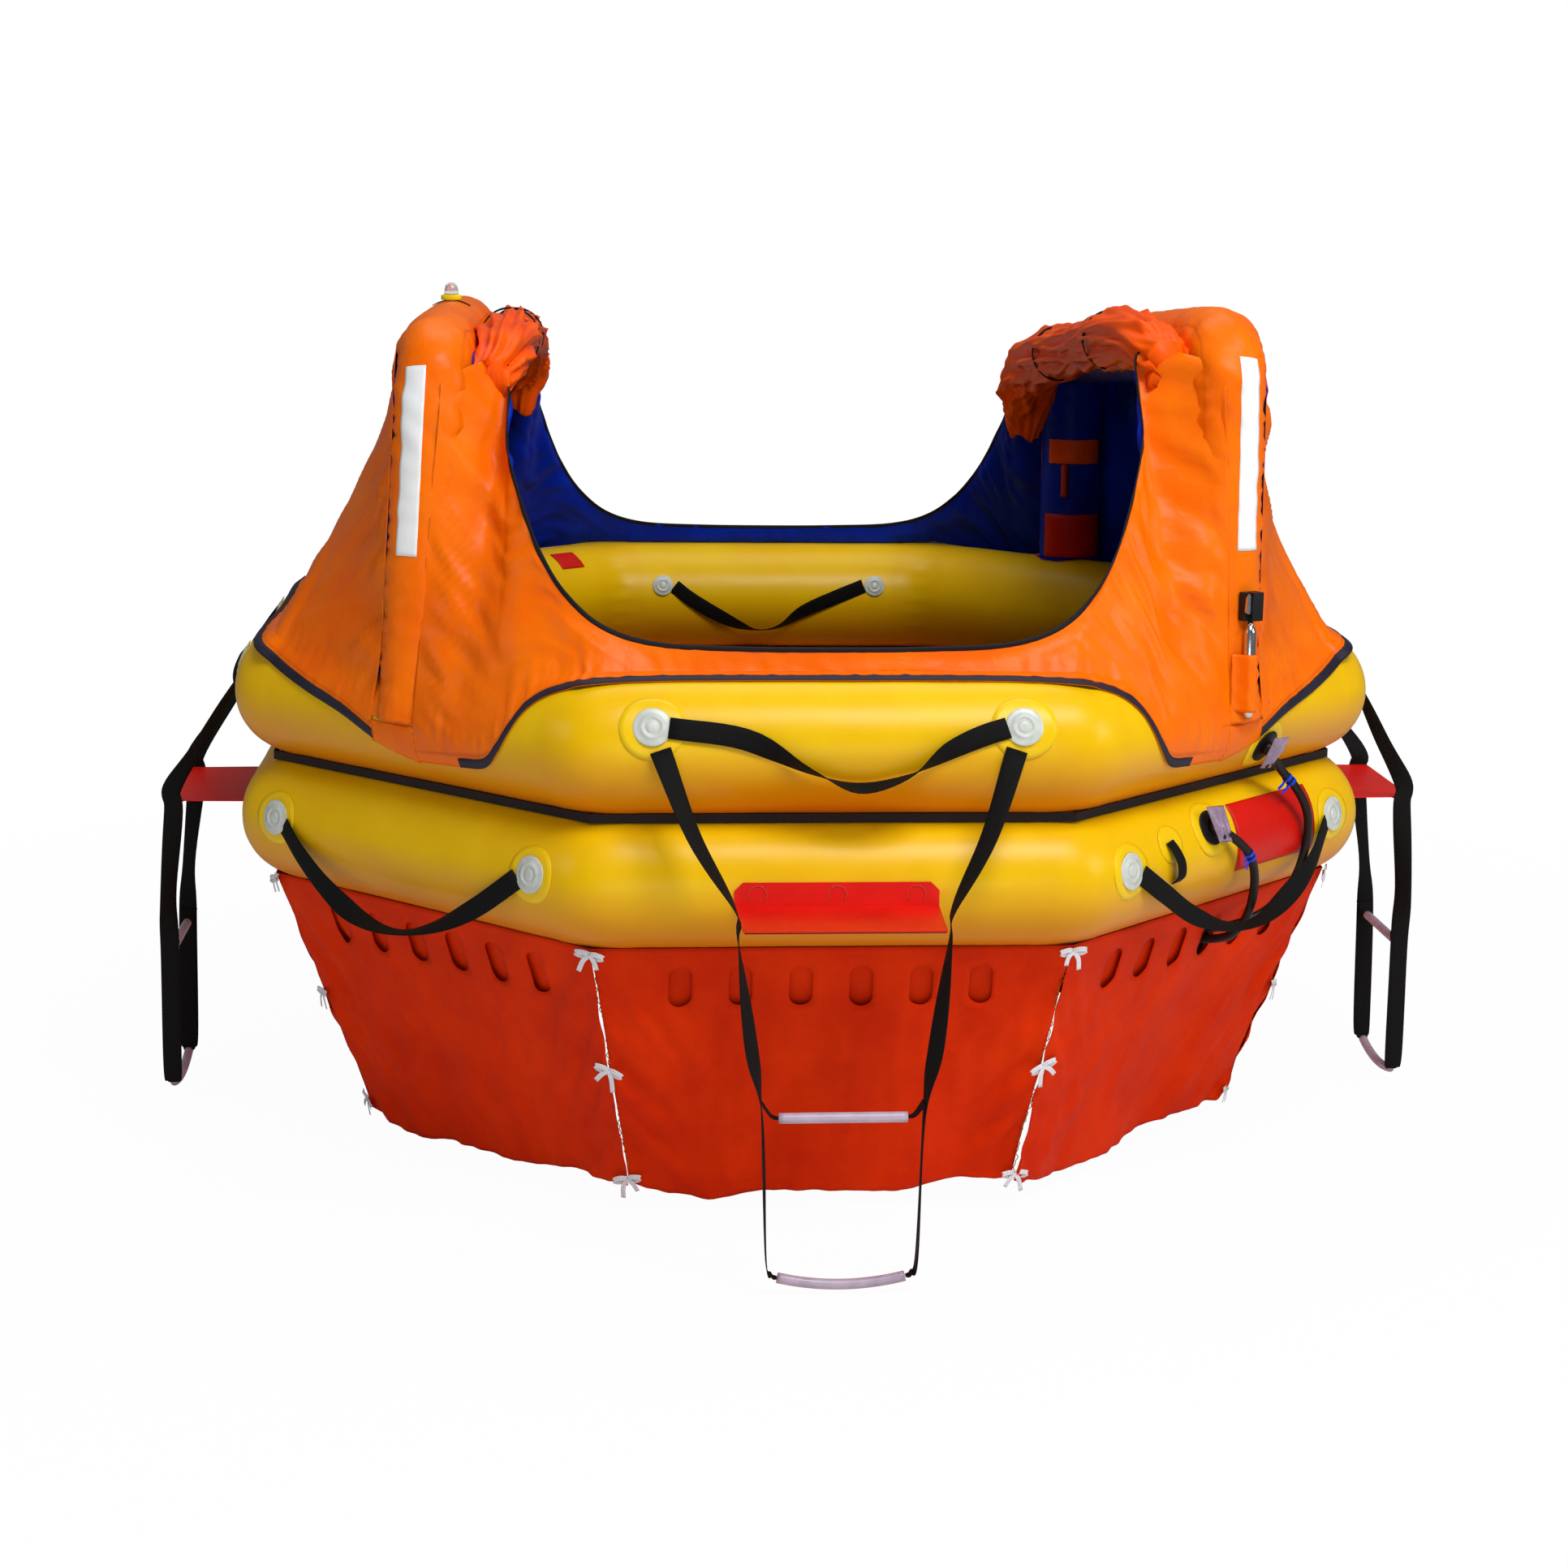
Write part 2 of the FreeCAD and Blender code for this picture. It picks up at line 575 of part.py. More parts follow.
def arch_place(side):
    """Stands the arch on its front foot, leaning in, and swung so that its back foot toes in."""
    hand, foot = ARCHES[side], size("arch_foot_out")
    toe = FreeCAD.Rotation(Z, hand * math.degrees(math.atan2(size(f"{side}_toe"), 2 * foot)))
    lean = FreeCAD.Rotation(Vector(0, 1, 0), -hand * math.degrees(arch_lean(side)))
    stand = FreeCAD.Placement(Vector(hand * foot, -foot, UPPER_Z + size("arch_foot_rise")), toe.multiply(lean))
    return stand.multiply(FreeCAD.Placement(Vector(0, foot, 0), FreeCAD.Rotation()))


def arch_axis(side):
    """The same centre line as points of the raft."""
    place = arch_place(side)
    return [place.multVec(Vector(0, size(y), size(z))) for y, z in arch_points(side)]


def foot_clearance(name, facet):
    """The upper tube's skin along a corner facet, a little larger, to cut an arch's feet to."""
    rod = doc.addObject("Part::Cylinder", name)
    rod.setExpression("Radius", "Sizes.tube_dia / 2 + Sizes.clearance")
    rod.setExpression("Height", f"2 * {UPPER} * tan(22.5 deg)")
    start = at(facet, -UPPER_OUT * TAN, UPPER_OUT, UPPER_Z)
    rod.Placement = FreeCAD.Placement(start, FreeCAD.Rotation(Z, sideways(facet)))
    return rod


for side, hand in ARCHES.items():
    body = new_body(f"arch_{side}_tube")
    path = new_sketch(body, f"arch_{side}_path", "YZ_Plane")
    outline(path, arch_points(side), closed=False)
    foot_ring = new_sketch(body, f"arch_{side}_section", "XY_Plane")
    outline(foot_ring, round_section("0", "-Sizes.arch_foot_out", "Sizes.arch_dia / 2", ARCH_GORES))
    bent = body.newObject("PartDesign::AdditivePipe", f"arch_{side}_pipe")
    bent.Profile = foot_ring
    bent.Spine = path
    bent.Transition = "Right corner"
    body.Placement = arch_place(side)
    doc.recompute()
    facets = (7, 5) if hand < 0 else (1, 3)
    feet = doc.addObject("Part::MultiFuse", f"arch_{side}_feet")
    feet.Shapes = [foot_clearance(f"foot_{side}_{facet}", facet) for facet in facets]
    arch = doc.addObject("Part::Cut", f"arch_{side}")
    arch.Base = body
    arch.Tool = feet
    keep(arch, f"arch_{side}")
doc.recompute()

# ---------------------------------------------------------------------------------------------
# Canopy: a front and a back wall with a U-shaped opening, a panel outside each arch, and corner flaps
# ---------------------------------------------------------------------------------------------
ARCH_R = size("arch_dia") / 2
# Flat patches of cloth that turn this much between two points stay clear of the round tube.
WRAP_LIFT = TUBE_R * (1 / math.cos(math.radians(14)) - 1) + CLEAR
TAPE_ANGLE = math.degrees(size("edge_tape_wide") / TUBE_R)


def beside_arch(point, direction, gap=0):
    """A point just off the arch's skin, from a point of its centre line."""
    return point + unit(direction) * (ARCH_R + CLEAR + gap)


def on_share(facet, share, angle, lift):
    """A point over the upper tube, at a share of the facet's half width; a share of 1 is its mitred corner."""
    spot = on_tube(facet, 0, angle, lift)
    return spot + sideways(facet) * (share * spot.dot(outward(facet)) * TAN)


def canopy_station(facet, share, edge, top, hollow):
    """One line of a canopy panel: round the tube from its taped edge, then free up to its bound edge."""
    reach = TUBE_R + WRAP_LIFT
    out, rise = top.dot(outward(facet)) - UPPER_OUT, top.z - UPPER_Z
    leave = math.degrees(math.atan2(rise, out) - math.acos(min(1, reach / math.hypot(out, rise))))
    leave = max(leave, edge + 2.5 * TAPE_ANGLE)
    turns = (edge, edge + TAPE_ANGLE, (edge + TAPE_ANGLE + leave) / 2, leave)
    points = [on_share(facet, share, turn, WRAP_LIFT) for turn in turns]
    start = points[-1]
    bound = 1 - size("binding_wide") / (top - start).Length
    for t in (0.36, 0.68, bound, 1):
        points.append(blend(start, top, t) - outward(facet) * (hollow * 4 * t * (1 - t)))
    return points


def wall_stations(side, end):
    """Half a front (end -1) or back (end +1) wall, from its middle to the arch on one side."""
    hand = ARCHES[side]
    axis = arch_axis(side)
    spine = axis if end < 0 else axis[::-1]
    shoulder = spine[2] if end < 0 else spine[1]
    brow = spine[4] if end < 0 else spine[3]
    mid, corner = (0, 1 if hand > 0 else 7) if end < 0 else (4, 3 if hand > 0 else 5)
    sweep = hand if end < 0 else -hand
    top_z = UPPER_Z + TUBE_R + size("canopy_rise")
    half = size("opening_half") if end < 0 else size("opening_half") * 0.95
    tall = brow.z - top_z
    lip = UPPER_OUT - 8
    inner = abs(brow.y) + 24

    def lip_at(x_share, z_share):
        y = blend(lip, inner, z_share)
        return Vector(hand * half * x_share, end * y, top_z + tall * z_share)

    leg = [beside_arch(shoulder, Vector(-hand * math.cos(turn), end * math.sin(turn), 0), 6)
           for turn in (math.radians(38), math.radians(76))]
    spots = [
        (mid, 0, 68, lip_at(0, 0), 2), (mid, 0.37 * sweep, 68, lip_at(0.29, 0.003), 2),
        (mid, 0.74 * sweep, 67, lip_at(0.54, 0.018), 2), (mid, sweep, 62, lip_at(0.7, 0.075), 4),
        (corner, -0.91 * sweep, 54, lip_at(0.81, 0.18), 8), (corner, -0.8 * sweep, 42, lip_at(0.88, 0.3), 14),
        (corner, -0.72 * sweep, 27, lip_at(0.925, 0.42), 16), (corner, -0.66 * sweep, 9, lip_at(0.96, 0.54), 16),
        (corner, -0.6 * sweep, -8, lip_at(0.99, 0.68), 16), (corner, -0.52 * sweep, -23, lip_at(0.985, 0.85), 14),
        (corner, -0.39 * sweep, -27, lip_at(1, 0.97), 8), (corner, -0.26 * sweep, -29, leg[0], 0),
        (corner, -0.12 * sweep, -31, leg[1], 0)]
    return [canopy_station(*spot) for spot in spots]


middle = Vector(0, 0, UPPER_Z)
WALLS = {}
for name, end in (("front", -1), ("back", 1)):
    stations = wall_stations("left", end)[::-1] + wall_stations("right", end)[1:]
    WALLS[name] = stations
    shaped(f"canopy_{name}", cloth(stations, FABRIC, middle))


def side_stations(side):
    """The panel outside an arch, from its front leg to its back leg."""
    hand = ARCHES[side]
    axis = arch_axis(side)
    flat = 2 if hand > 0 else 6
    front, back = (1, 3) if hand > 0 else (7, 5)
    out = Vector(hand, 0, 0)
    tops = [beside_arch(axis[2], Vector(hand, -0.28, 0), 4), beside_arch(axis[4], Vector(hand, -0.1, 0.05), 4)]
    tops += [beside_arch(blend(axis[4], axis[5], t), out, 2) for t in (0.07, 0.15, 0.28, 0.5, 0.72, 0.85, 0.93)]
    tops += [beside_arch(axis[5], Vector(hand, 0.1, 0.05), 4), beside_arch(axis[7], Vector(hand, 0.28, 0), 4)]
    places = [(front, 0.12, -15), (front, 0.3, 1), (front, 0.54, 15), (front, 0.78, 31), (front, 1, 50),
              (flat, 0, 54), (back, -1, 50), (back, -0.78, 31), (back, -0.54, 15), (back, -0.3, 1), (back, -0.12, -15)]
    rows = []
    for i, ((facet, share, edge), top) in enumerate(zip(places, tops)):
        hollow = size("side_hollow") * math.sin(math.pi * i / (len(places) - 1))
        rows.append(canopy_station(facet, hand * share, edge, top, hollow))
    return rows


for side in ARCHES:
    WALLS[side] = side_stations(side)
    shaped(f"canopy_{side}", cloth(WALLS[side], FABRIC, middle))

# Flaps that close the canopy round the tube under each arch foot.
FLAP_LIFT = TUBE_R * (1 / math.cos(math.radians(10.7)) - 1) + CLEAR
flaps = []
for facet in (1, 3, 5, 7):
    toward_side = 1 if facet in (1, 5) else -1
    rows = [[on_share(facet, share * toward_side, angle, FLAP_LIFT) for angle in angles]
            for share, angles in ((-0.12, (-31, -16, -1)), (0, (-25, -13, -1)), (0.12, (-17, -9, -1)))]
    flaps.append(cloth(rows, FABRIC, middle))
shaped("canopy_corner_flaps", Part.makeCompound(flaps))


# Dark tape along the lower edge, and the bound edge of the opening, laid on the cloth's own outer bands.
def laid_on(rows, first, last):
    raised = lifted(rows, FABRIC + 2 * CLEAR, middle)
    return cloth([row[first:last] for row in raised], 1, middle)


def taped(rows):
    return [row for row in rows if row[0].z > UPPER_Z - TUBE_R * 0.45]


tapes = [laid_on(taped(rows), 0, 2) for rows in WALLS.values()]
shaped("canopy_edge_tape", Part.makeCompound(tapes))
for name in ("front", "back"):
    shaped(f"opening_binding_{name}", laid_on(WALLS[name], -2, None))

# The roof of the canopy, rolled up and hung along the inner side of each arch.
ROLL_SIDES = 8
roll_straps = []
for side, hand in ARCHES.items():
    axis = arch_axis(side)
    radius = size("roll_dia") / 2
    away = ARCH_R + radius + 2 * CLEAR + size("webbing_thick") / 2
    line = [blend(axis[4], axis[5], t) + Vector(-hand * away, 0, drop)
            for t, drop in ((0.02, -60), (0.12, -16), (0.3, 4), (0.5, -6), (0.7, -14), (0.88, -30), (0.99, -80))]
    rings = []
    for i, centre in enumerate(line):
        swell = radius * (0.72, 0.95, 1, 0.88, 1, 0.94, 0.8)[i]
        ring = []
        for j in range(ROLL_SIDES):
            turn = 2 * math.pi * j / ROLL_SIDES
            ring.append(centre + Vector(swell * math.cos(turn), 0, swell * math.sin(turn)))
        rings.append(ring)
    shaped(f"canopy_roll_{side}", tube_of(rings))

    for centre in (line[2], line[4]):
        wrap = []
        for j in range(ROLL_SIDES - 1):
            turn = 2 * math.pi * (j + 0.5) / ROLL_SIDES - math.pi / 2
            reach = (radius + CLEAR + size("webbing_thick") / 4) / math.cos(math.pi / ROLL_SIDES)
            wrap.append(centre + Vector(reach * math.cos(turn), 0, reach * math.sin(turn)))
        roll_straps.append(strap(wrap, [Vector(0, 1, 0)] * len(wrap), 26, size("webbing_thick") / 2))
shaped("canopy_roll_straps", Part.makeCompound(roll_straps))

# White reflective strips down the front and back of the legs.
strips = []
for side, hand in ARCHES.items():
    axis = arch_axis(side)
    for foot, knee, end in ((axis[1], axis[2], -1), (axis[-1], axis[-2], 1)):
        spot = blend(foot, knee, 0.775)
        facing = Vector(hand * 0.5, end, 0)
        strips.append(plate(beside_arch(spot, facing, 0.4), facing.cross(knee - foot) * -1, knee - foot, 52, 400, 1))
shaped("reflective_strips", Part.makeCompound(strips))

# ---------------------------------------------------------------------------------------------
# Webbing patches, lifelines and boarding ladders
# ---------------------------------------------------------------------------------------------
SIDE_FACETS = (0, 2, 4, 6)
CORNER_FACETS = (1, 3, 5, 7)
ROUND_SIDES = 12


def disc(name, radius, thick):
    """A moulded round pad with a many-sided rim."""
    pad = doc.addObject("Part::Prism", name)
    pad.Polygon = ROUND_SIDES
    pad.setExpression("Circumradius", radius)
    pad.setExpression("Height", thick)
    return pad


def pad_place(facet, along, angle, upper=True):
    spot = on_tube(facet, along, angle, CLEAR, upper)
    level = sideways(facet)
    face = unit(spot - on_tube(facet, along, angle, -TUBE_R, upper))
    return frame_at(spot, level, face.cross(level))


patch = disc("webbing_patch", "Sizes.patch_dia / 2", "Sizes.patch_thick")
doc.recompute()
SPREAD, RISE = size("patch_spread"), size("patch_angle")
copies("ladder_patches", patch, [pad_place(f, a, RISE) for f in SIDE_FACETS for a in (-SPREAD, SPREAD)])
LINE, LINE_RISE = size("line_spread"), size("line_angle")
copies("lifeline_patches", patch,
       [pad_place(f, a, LINE_RISE, False) for f in CORNER_FACETS for a in (-LINE, LINE)])
INNER_SPREAD = size("inner_spread")
small_patch = disc("small_patch", "Sizes.inner_patch_dia / 2", "Sizes.patch_thick")
doc.recompute()
copies("inner_patches", small_patch, [pad_place(4, a, 163) for a in (-INNER_SPREAD, INNER_SPREAD)])

WIDE, THICK = size("webbing_wide"), size("webbing_thick")
REST = TUBE_R * (1 - math.cos(math.radians(11))) + THICK + CLEAR


def tube_face(facet, along, angle, upper):
    return unit(on_tube(facet, along, angle, 0, upper) - on_tube(facet, along, angle, -TUBE_R, upper))


def tube_line(facet, stations, upper):
    """Webbing laid on a tube: stations are place along, angle, and how far it is turned on edge."""
    centres, across = [], []
    for along, angle, turned in stations:
        face = tube_face(facet, along, angle, upper)
        down = face.cross(sideways(facet))
        across.append(unit(down * (1 - turned) + face * turned))
        centres.append(on_tube(facet, along, angle, REST + across[-1].dot(face) * WIDE / 2, upper))
    return strap(centres, across, WIDE, THICK)


clear_patch = size("patch_dia") / 2 + THICK
upper_lines = []
for facet in SIDE_FACETS:
    low = RISE - 44
    upper_lines.append(tube_line(facet, [
        (-SPREAD + clear_patch, RISE - 1, 0), (-0.5 * SPREAD, RISE - 10, 0.1), (-0.16 * SPREAD, low + 12, 0.6),
        (0.1 * SPREAD, low, 0.95), (0.36 * SPREAD, low + 8, 0.8), (0.58 * SPREAD, RISE - 19, 0.3),
        (0.76 * SPREAD, RISE - 8, 0.1), (SPREAD - clear_patch, RISE - 1, 0)], True))
shaped("upper_lifelines", Part.makeCompound(upper_lines))

lower_lines = []
rim = LOWER_OUT + TUBE_R + THICK
patch_z = LOWER_Z + TUBE_R * math.sin(math.radians(LINE_RISE))
for facet in CORNER_FACETS:
    ends = [(on_tube(facet, hand * (LINE - clear_patch + 2), 4, THICK + 3 * CLEAR, False),
             sideways(facet).cross(tube_face(facet, 0, 4, False))) for hand in (-1, 1)]
    route = [ends[0]]
    for share, drop, stand, turned in ((-0.74, 66, 14, 0.05), (-0.5, 128, 19, 0.2), (-0.2, 172, 21, 0.7),
                                       (0.08, 180, 22, 0.95), (0.36, 152, 22, 0.6), (0.66, 92, 24, 0.15)):
        spot = at(facet, share * LINE, rim + stand + turned * WIDE / 2, patch_z - drop)
        route.append((spot, Z * (turned - 1) + outward(facet) * turned))
    route.append(ends[1])
    lower_lines.append(strap([spot for spot, _ in route], [across for _, across in route], WIDE, THICK))
shaped("lower_lifelines", Part.makeCompound(lower_lines))

inner_reach = INNER_SPREAD - size("inner_patch_dia") / 2 - THICK
shaped("inner_lifeline", tube_line(4, [
    (inner_reach, 165, 0), (0.7 * INNER_SPREAD, 180, 0), (0.5 * INNER_SPREAD, 194, 0.1), (0.3 * INNER_SPREAD, 205, 0.5),
    (0.13 * INNER_SPREAD, 211, 0.9), (-0.1 * INNER_SPREAD, 204, 0.6), (-0.36 * INNER_SPREAD, 190, 0.2),
    (-0.66 * INNER_SPREAD, 177, 0), (-inner_reach, 165, 0)], True))

# Boarding step: a welded flange and a tread that the webbing holds out.
step = new_body("boarding_step")
flange_face = new_sketch(step, "step_flange_face", "XZ_Plane")
tall, cut = "(Sizes.flange_top - Sizes.step_z)", "18"
half = "Sizes.step_wide / 2"
outline(flange_face, [
    (f"-{half}", "0"), (half, "0"), (half, f"{tall} - {cut}"), (f"{half} - {cut}", tall),
    (f"-{half} + {cut}", tall), (f"-{half}", f"{tall} - {cut}")])
flange = step.newObject("PartDesign::Pad", "step_flange")
flange.Profile = flange_face
flange.setExpression("Length", "Sizes.step_thick")
flange.Reversed = True
tread_face = new_sketch(step, "step_tread_face", "XY_Plane")
outline(tread_face, [(f"-{half}", "0"), (half, "0"), (f"{half} - 8", "Sizes.step_reach"), (f"-{half} + 8", "Sizes.step_reach")])
tread = step.newObject("PartDesign::Pad", "step_tread")
tread.Profile = tread_face
tread.setExpression("Length", "Sizes.step_thick")
tread.Reversed = True
doc.recompute()

STEP_OUT = LOWER_OUT + TUBE_R + CLEAR + size("step_reach")
STEP_HALF = size("step_wide") / 2
RUNG_HALF = size("rung_length") / 2
UP_RUNG, LOW_RUNG = size("rung_upper_z"), size("rung_lower_z")


def ring_of(centre, across, up, radius, sides=10):
    turns = [2 * math.pi * i / sides for i in range(sides)]
    return [centre + across * (radius * math.cos(t)) + up * (radius * math.sin(t)) for t in turns]


webs, rungs, step_places = [], [], []
for facet in SIDE_FACETS:
    out = outward(facet)
    for hand in (-1, 1):
        gap = (THICK / 2 + CLEAR) * hand
        beside = hand * STEP_HALF + gap
        route = [
            (on_tube(facet, hand * (SPREAD - 16), RISE - 18, REST - 2 * CLEAR), sideways(facet) * hand),
            (at(facet, hand * 300, STEP_OUT - 110, 294), sideways(facet) * hand + out),
            (at(facet, beside * 1.02, STEP_OUT - WIDE / 2, size("step_z") + 34), out),
            (at(facet, beside, STEP_OUT - WIDE / 2, size("step_z") - 26), out),
            (at(facet, hand * STEP_HALF * 0.88, STEP_OUT, UP_RUNG + 150), sideways(facet) * hand * 0.8 + out),
            (at(facet, hand * (RUNG_HALF + 34), STEP_OUT + 4, UP_RUNG + 10), out),
            (at(facet, hand * (RUNG_HALF + 24), STEP_OUT + 8, LOW_RUNG + 46), out),
            (at(facet, hand * (RUNG_HALF + 12), STEP_OUT + 8, LOW_RUNG + 6), out),
            (at(facet, hand * (RUNG_HALF + THICK / 2), STEP_OUT + 8, LOW_RUNG), out)]
        widths = [WIDE] * 7 + [WIDE * 0.7, WIDE * 0.42]
        webs.append(strap([spot for spot, _ in route], [turn for _, turn in route], widths, THICK))
        tail = [at(facet, hand * (RUNG_HALF + spread), STEP_OUT + 2, UP_RUNG + lift)
                for spread, lift in ((33, 30), (15, 5), (THICK / 2, 0))]
        webs.append(strap(tail, [out] * 3, [WIDE, WIDE * 0.7, WIDE * 0.42], THICK))
    under = size("step_z") - size("step_thick") - CLEAR - THICK / 2
    ends = [at(facet, hand * (STEP_HALF - 10), STEP_OUT - WIDE / 2, under) for hand in (-1, 1)]
    webs.append(strap(ends, [out, out], WIDE, THICK))
    foot = at(facet, 0, LOWER_OUT + TUBE_R + CLEAR, size("step_z"))
    step_places.append(frame_at(foot, sideways(facet) * -1, out))
    radius, sag = size("rung_dia") / 2, size("rung_sag")
    straight = [ring_of(at(facet, s * RUNG_HALF, STEP_OUT + 2, UP_RUNG), out, Z, radius) for s in (-1, 1)]
    bent = [ring_of(at(facet, s * RUNG_HALF, STEP_OUT + 8, LOW_RUNG - drop), out, Z, radius)
            for s, drop in ((-1, 0), (-0.4, sag), (0.4, sag), (1, 0))]
    rungs += [tube_of(straight), tube_of(bent)]
shaped("ladder_webbing", Part.makeCompound(webs))
copies("ladder_steps", step, step_places)
shaped("ladder_rungs", Part.makeCompound(rungs))

# ---------------------------------------------------------------------------------------------
# Inflation: valves on the front right facets, hoses, and the gas cylinder under the floor
# ---------------------------------------------------------------------------------------------
valve_spots = [(-90, 26, False), (108, -27, True)]
base = disc("valve_base", "Sizes.valve_base_dia / 2", "Sizes.valve_base_thick")
doc.recompute()
copies("valve_bases", base, [pad_place(1, along, angle, upper) for along, angle, upper in valve_spots])

cover = new_body("valve_cover")
cover_face = new_sketch(cover, "valve_cover_face", "XY_Plane")
outline(cover_face, [("-26", "-40"), ("18", "-44"), ("34", "-16"), ("24", "34"), ("-14", "44"), ("-30", "12")])
cover_film = cover.newObject("PartDesign::Pad", "valve_cover_film")
cover_film.Profile = cover_face
cover_film.setExpression("Length", "Sizes.valve_cover_deep")
doc.recompute()
fitting = disc("valve_fitting", "Sizes.valve_body_dia / 2", "Sizes.valve_body_tall")
doc.recompute()
over_base = FreeCAD.Placement(Vector(0, 0, size("valve_base_thick") + CLEAR), FreeCAD.Rotation())
copies("valve_fittings", fitting,
       [pad_place(1, along, angle, upper).multiply(over_base) for along, angle, upper in valve_spots])
over_base = FreeCAD.Placement(Vector(0, 0, size("valve_base_thick + valve_body_tall") + 2 * CLEAR), FreeCAD.Rotation())
copies("valve_covers", cover, [pad_place(1, along, angle, upper).multiply(over_base) for along, angle, upper in valve_spots])

BOTTLE_ALONG = 64
BOTTLE_Z = -size("floor_thick + cylinder_dia / 2") - 2 * CLEAR
VALVE_OUT = size("bottle_valve_out")


def route_stations(route):
    """Points and directions along straight runs and the tangent arcs between them."""
    stations = [(route[0], unit(route[1] - route[0]))]
    for before, corner, after in zip(route, route[1:], route[2:]):
        inward, onward = unit(corner - before), unit(after - corner)
        half_turn = inward.getAngle(onward) / 2
        back = 0.45 * min((corner - before).Length, (after - corner).Length)
        radius = back / math.tan(half_turn)
        lean = unit(onward - inward)
        middle = corner + lean * (radius / math.cos(half_turn) - radius)
        stations += [(corner - inward * back, inward), (middle, unit(inward + onward)), (corner + onward * back, onward)]
    return stations + [(route[-1], unit(route[-1] - route[-2]))]


def cord_tube(route, radius, sides):
    """A hose or cord through the points of a route."""
    side = unit(Vector(0.3, 0.5, 0.8).cross(route[1] - route[0]))
    rings = []
    for spot, run in route_stations(route):
        side = unit(side - run * side.dot(run))
        over = run.cross(side)
        turns = [2 * math.pi * i / sides for i in range(sides)]
        rings.append([spot + side * (radius * math.cos(t)) + over * (radius * math.sin(t)) for t in turns])
    return tube_of(rings)


UPPER_HOSE = [(122, 1310.4, 356), (173, 1304, 312), (222, 1326, 262), (262, 1335, 196), (282, 1319, 118), (250, 1313, 42),
              (168, 1302, -12), (92, 1258, -46), (68, 1180, -62), (66, 1122.7, -64)]
LOWER_HOSE = [(-76, 1314.5, 212), (-26, 1343, 177), (28, 1340, 118), (56, 1324, 42), (58, 1300, -32), (56, 1238, -82),
              (56, 1122.9, -88)]
for name, route in (("upper", UPPER_HOSE), ("lower", LOWER_HOSE)):
    shaped(f"{name}_hose", cord_tube([at(1, *spot) for spot in route], size("hose_dia") / 2, 8))

# The gas cylinder lies under the floor, its valve toward the hoses.
barrel_r, neck_r = size("cylinder_dia") / 2, size("bottle_neck_dia") / 2
reach = VALVE_OUT - CLEAR - size("bottle_neck + bottle_shoulder + cylinder_length")
rings = [ring_of(at(1, BOTTLE_ALONG, reach + size(length), BOTTLE_Z), sideways(1), Z, radius, 18)
         for length, radius in (("0", barrel_r * 0.6), ("24", barrel_r), ("cylinder_length", barrel_r),
                                ("cylinder_length + bottle_shoulder", neck_r),
                                ("cylinder_length + bottle_shoulder + bottle_neck", neck_r))]
shaped("gas_cylinder", tube_of(rings))
head_block = doc.addObject("Part::Box", "cylinder_valve")
head_block.setExpression("Length", "Sizes.bottle_valve_wide")
head_block.setExpression("Width", "Sizes.bottle_valve_deep")
head_block.setExpression("Height", "Sizes.bottle_valve_tall")
head_corner = at(1, BOTTLE_ALONG - size("bottle_valve_wide") / 2, VALVE_OUT, BOTTLE_Z + size("bottle_valve_tall") / 2)
head_block.Placement = frame_at(head_corner, sideways(1), outward(1))
keep(head_block, "cylinder_valve")

# Paired plastic ties round each hose, just below its valve.
ties = []
for route in (UPPER_HOSE, LOWER_HOSE):
    near, far = at(1, *route[1]), at(1, *route[2])
    run = unit(far - near)
    side = unit(run.cross(Z))
    over = run.cross(side)
    reach = (size("hose_dia") / 2 + 1) / math.cos(math.radians(22.5))
    for share in (0.42, 0.62):
        centre = blend(near, far, share)
        turns = [math.radians(45 * i) for i in range(8)]
        loop = [centre + side * (reach * math.cos(t)) + over * (reach * math.sin(t)) for t in turns]
        ties.append(strap(loop, [run] * 8, 9, 1))
shaped("hose_ties", Part.makeCompound(ties))

# Painter loop of webbing on the front right facet.
loop = [(24, 1), (16, 9), (6, 17), (-4, 15), (-11, 1)]
centres = [on_tube(1, -258 + 4 * i, angle, lift + THICK, False) for i, (angle, lift) in enumerate(loop)]
shaped("painter_loop", strap(centres, [sideways(1)] * len(loop), 32, THICK))

# ---------------------------------------------------------------------------------------------
# Canopy inflator on the right front leg: body, hinged lever, gas cartridge and its pocket
# ---------------------------------------------------------------------------------------------
LEG = arch_axis("right")
FACING = unit(Vector(0.45, -0.89, 0))
ACROSS = Z.cross(FACING)


def by_leg(across, out, z):
    """A point beside the right front leg: across to the right, out from the leg's centre line."""
    centre = blend(LEG[1], LEG[2], (z - LEG[1].z) / (LEG[2].z - LEG[1].z))
    return Vector(centre.x, centre.y, z) + ACROSS * across + FACING * out


WIDTH, DEPTH = size("inflator_wide"), size("inflator_deep")
BODY_OUT = ARCH_R + CLEAR + DEPTH
CREST = UPPER_Z + TUBE_R
INFLATOR_FOOT = CREST + size("inflator_foot_rise")
corner = by_leg(-WIDTH / 2, BODY_OUT, INFLATOR_FOOT)
stand = frame_at(corner, ACROSS, FACING * -1)

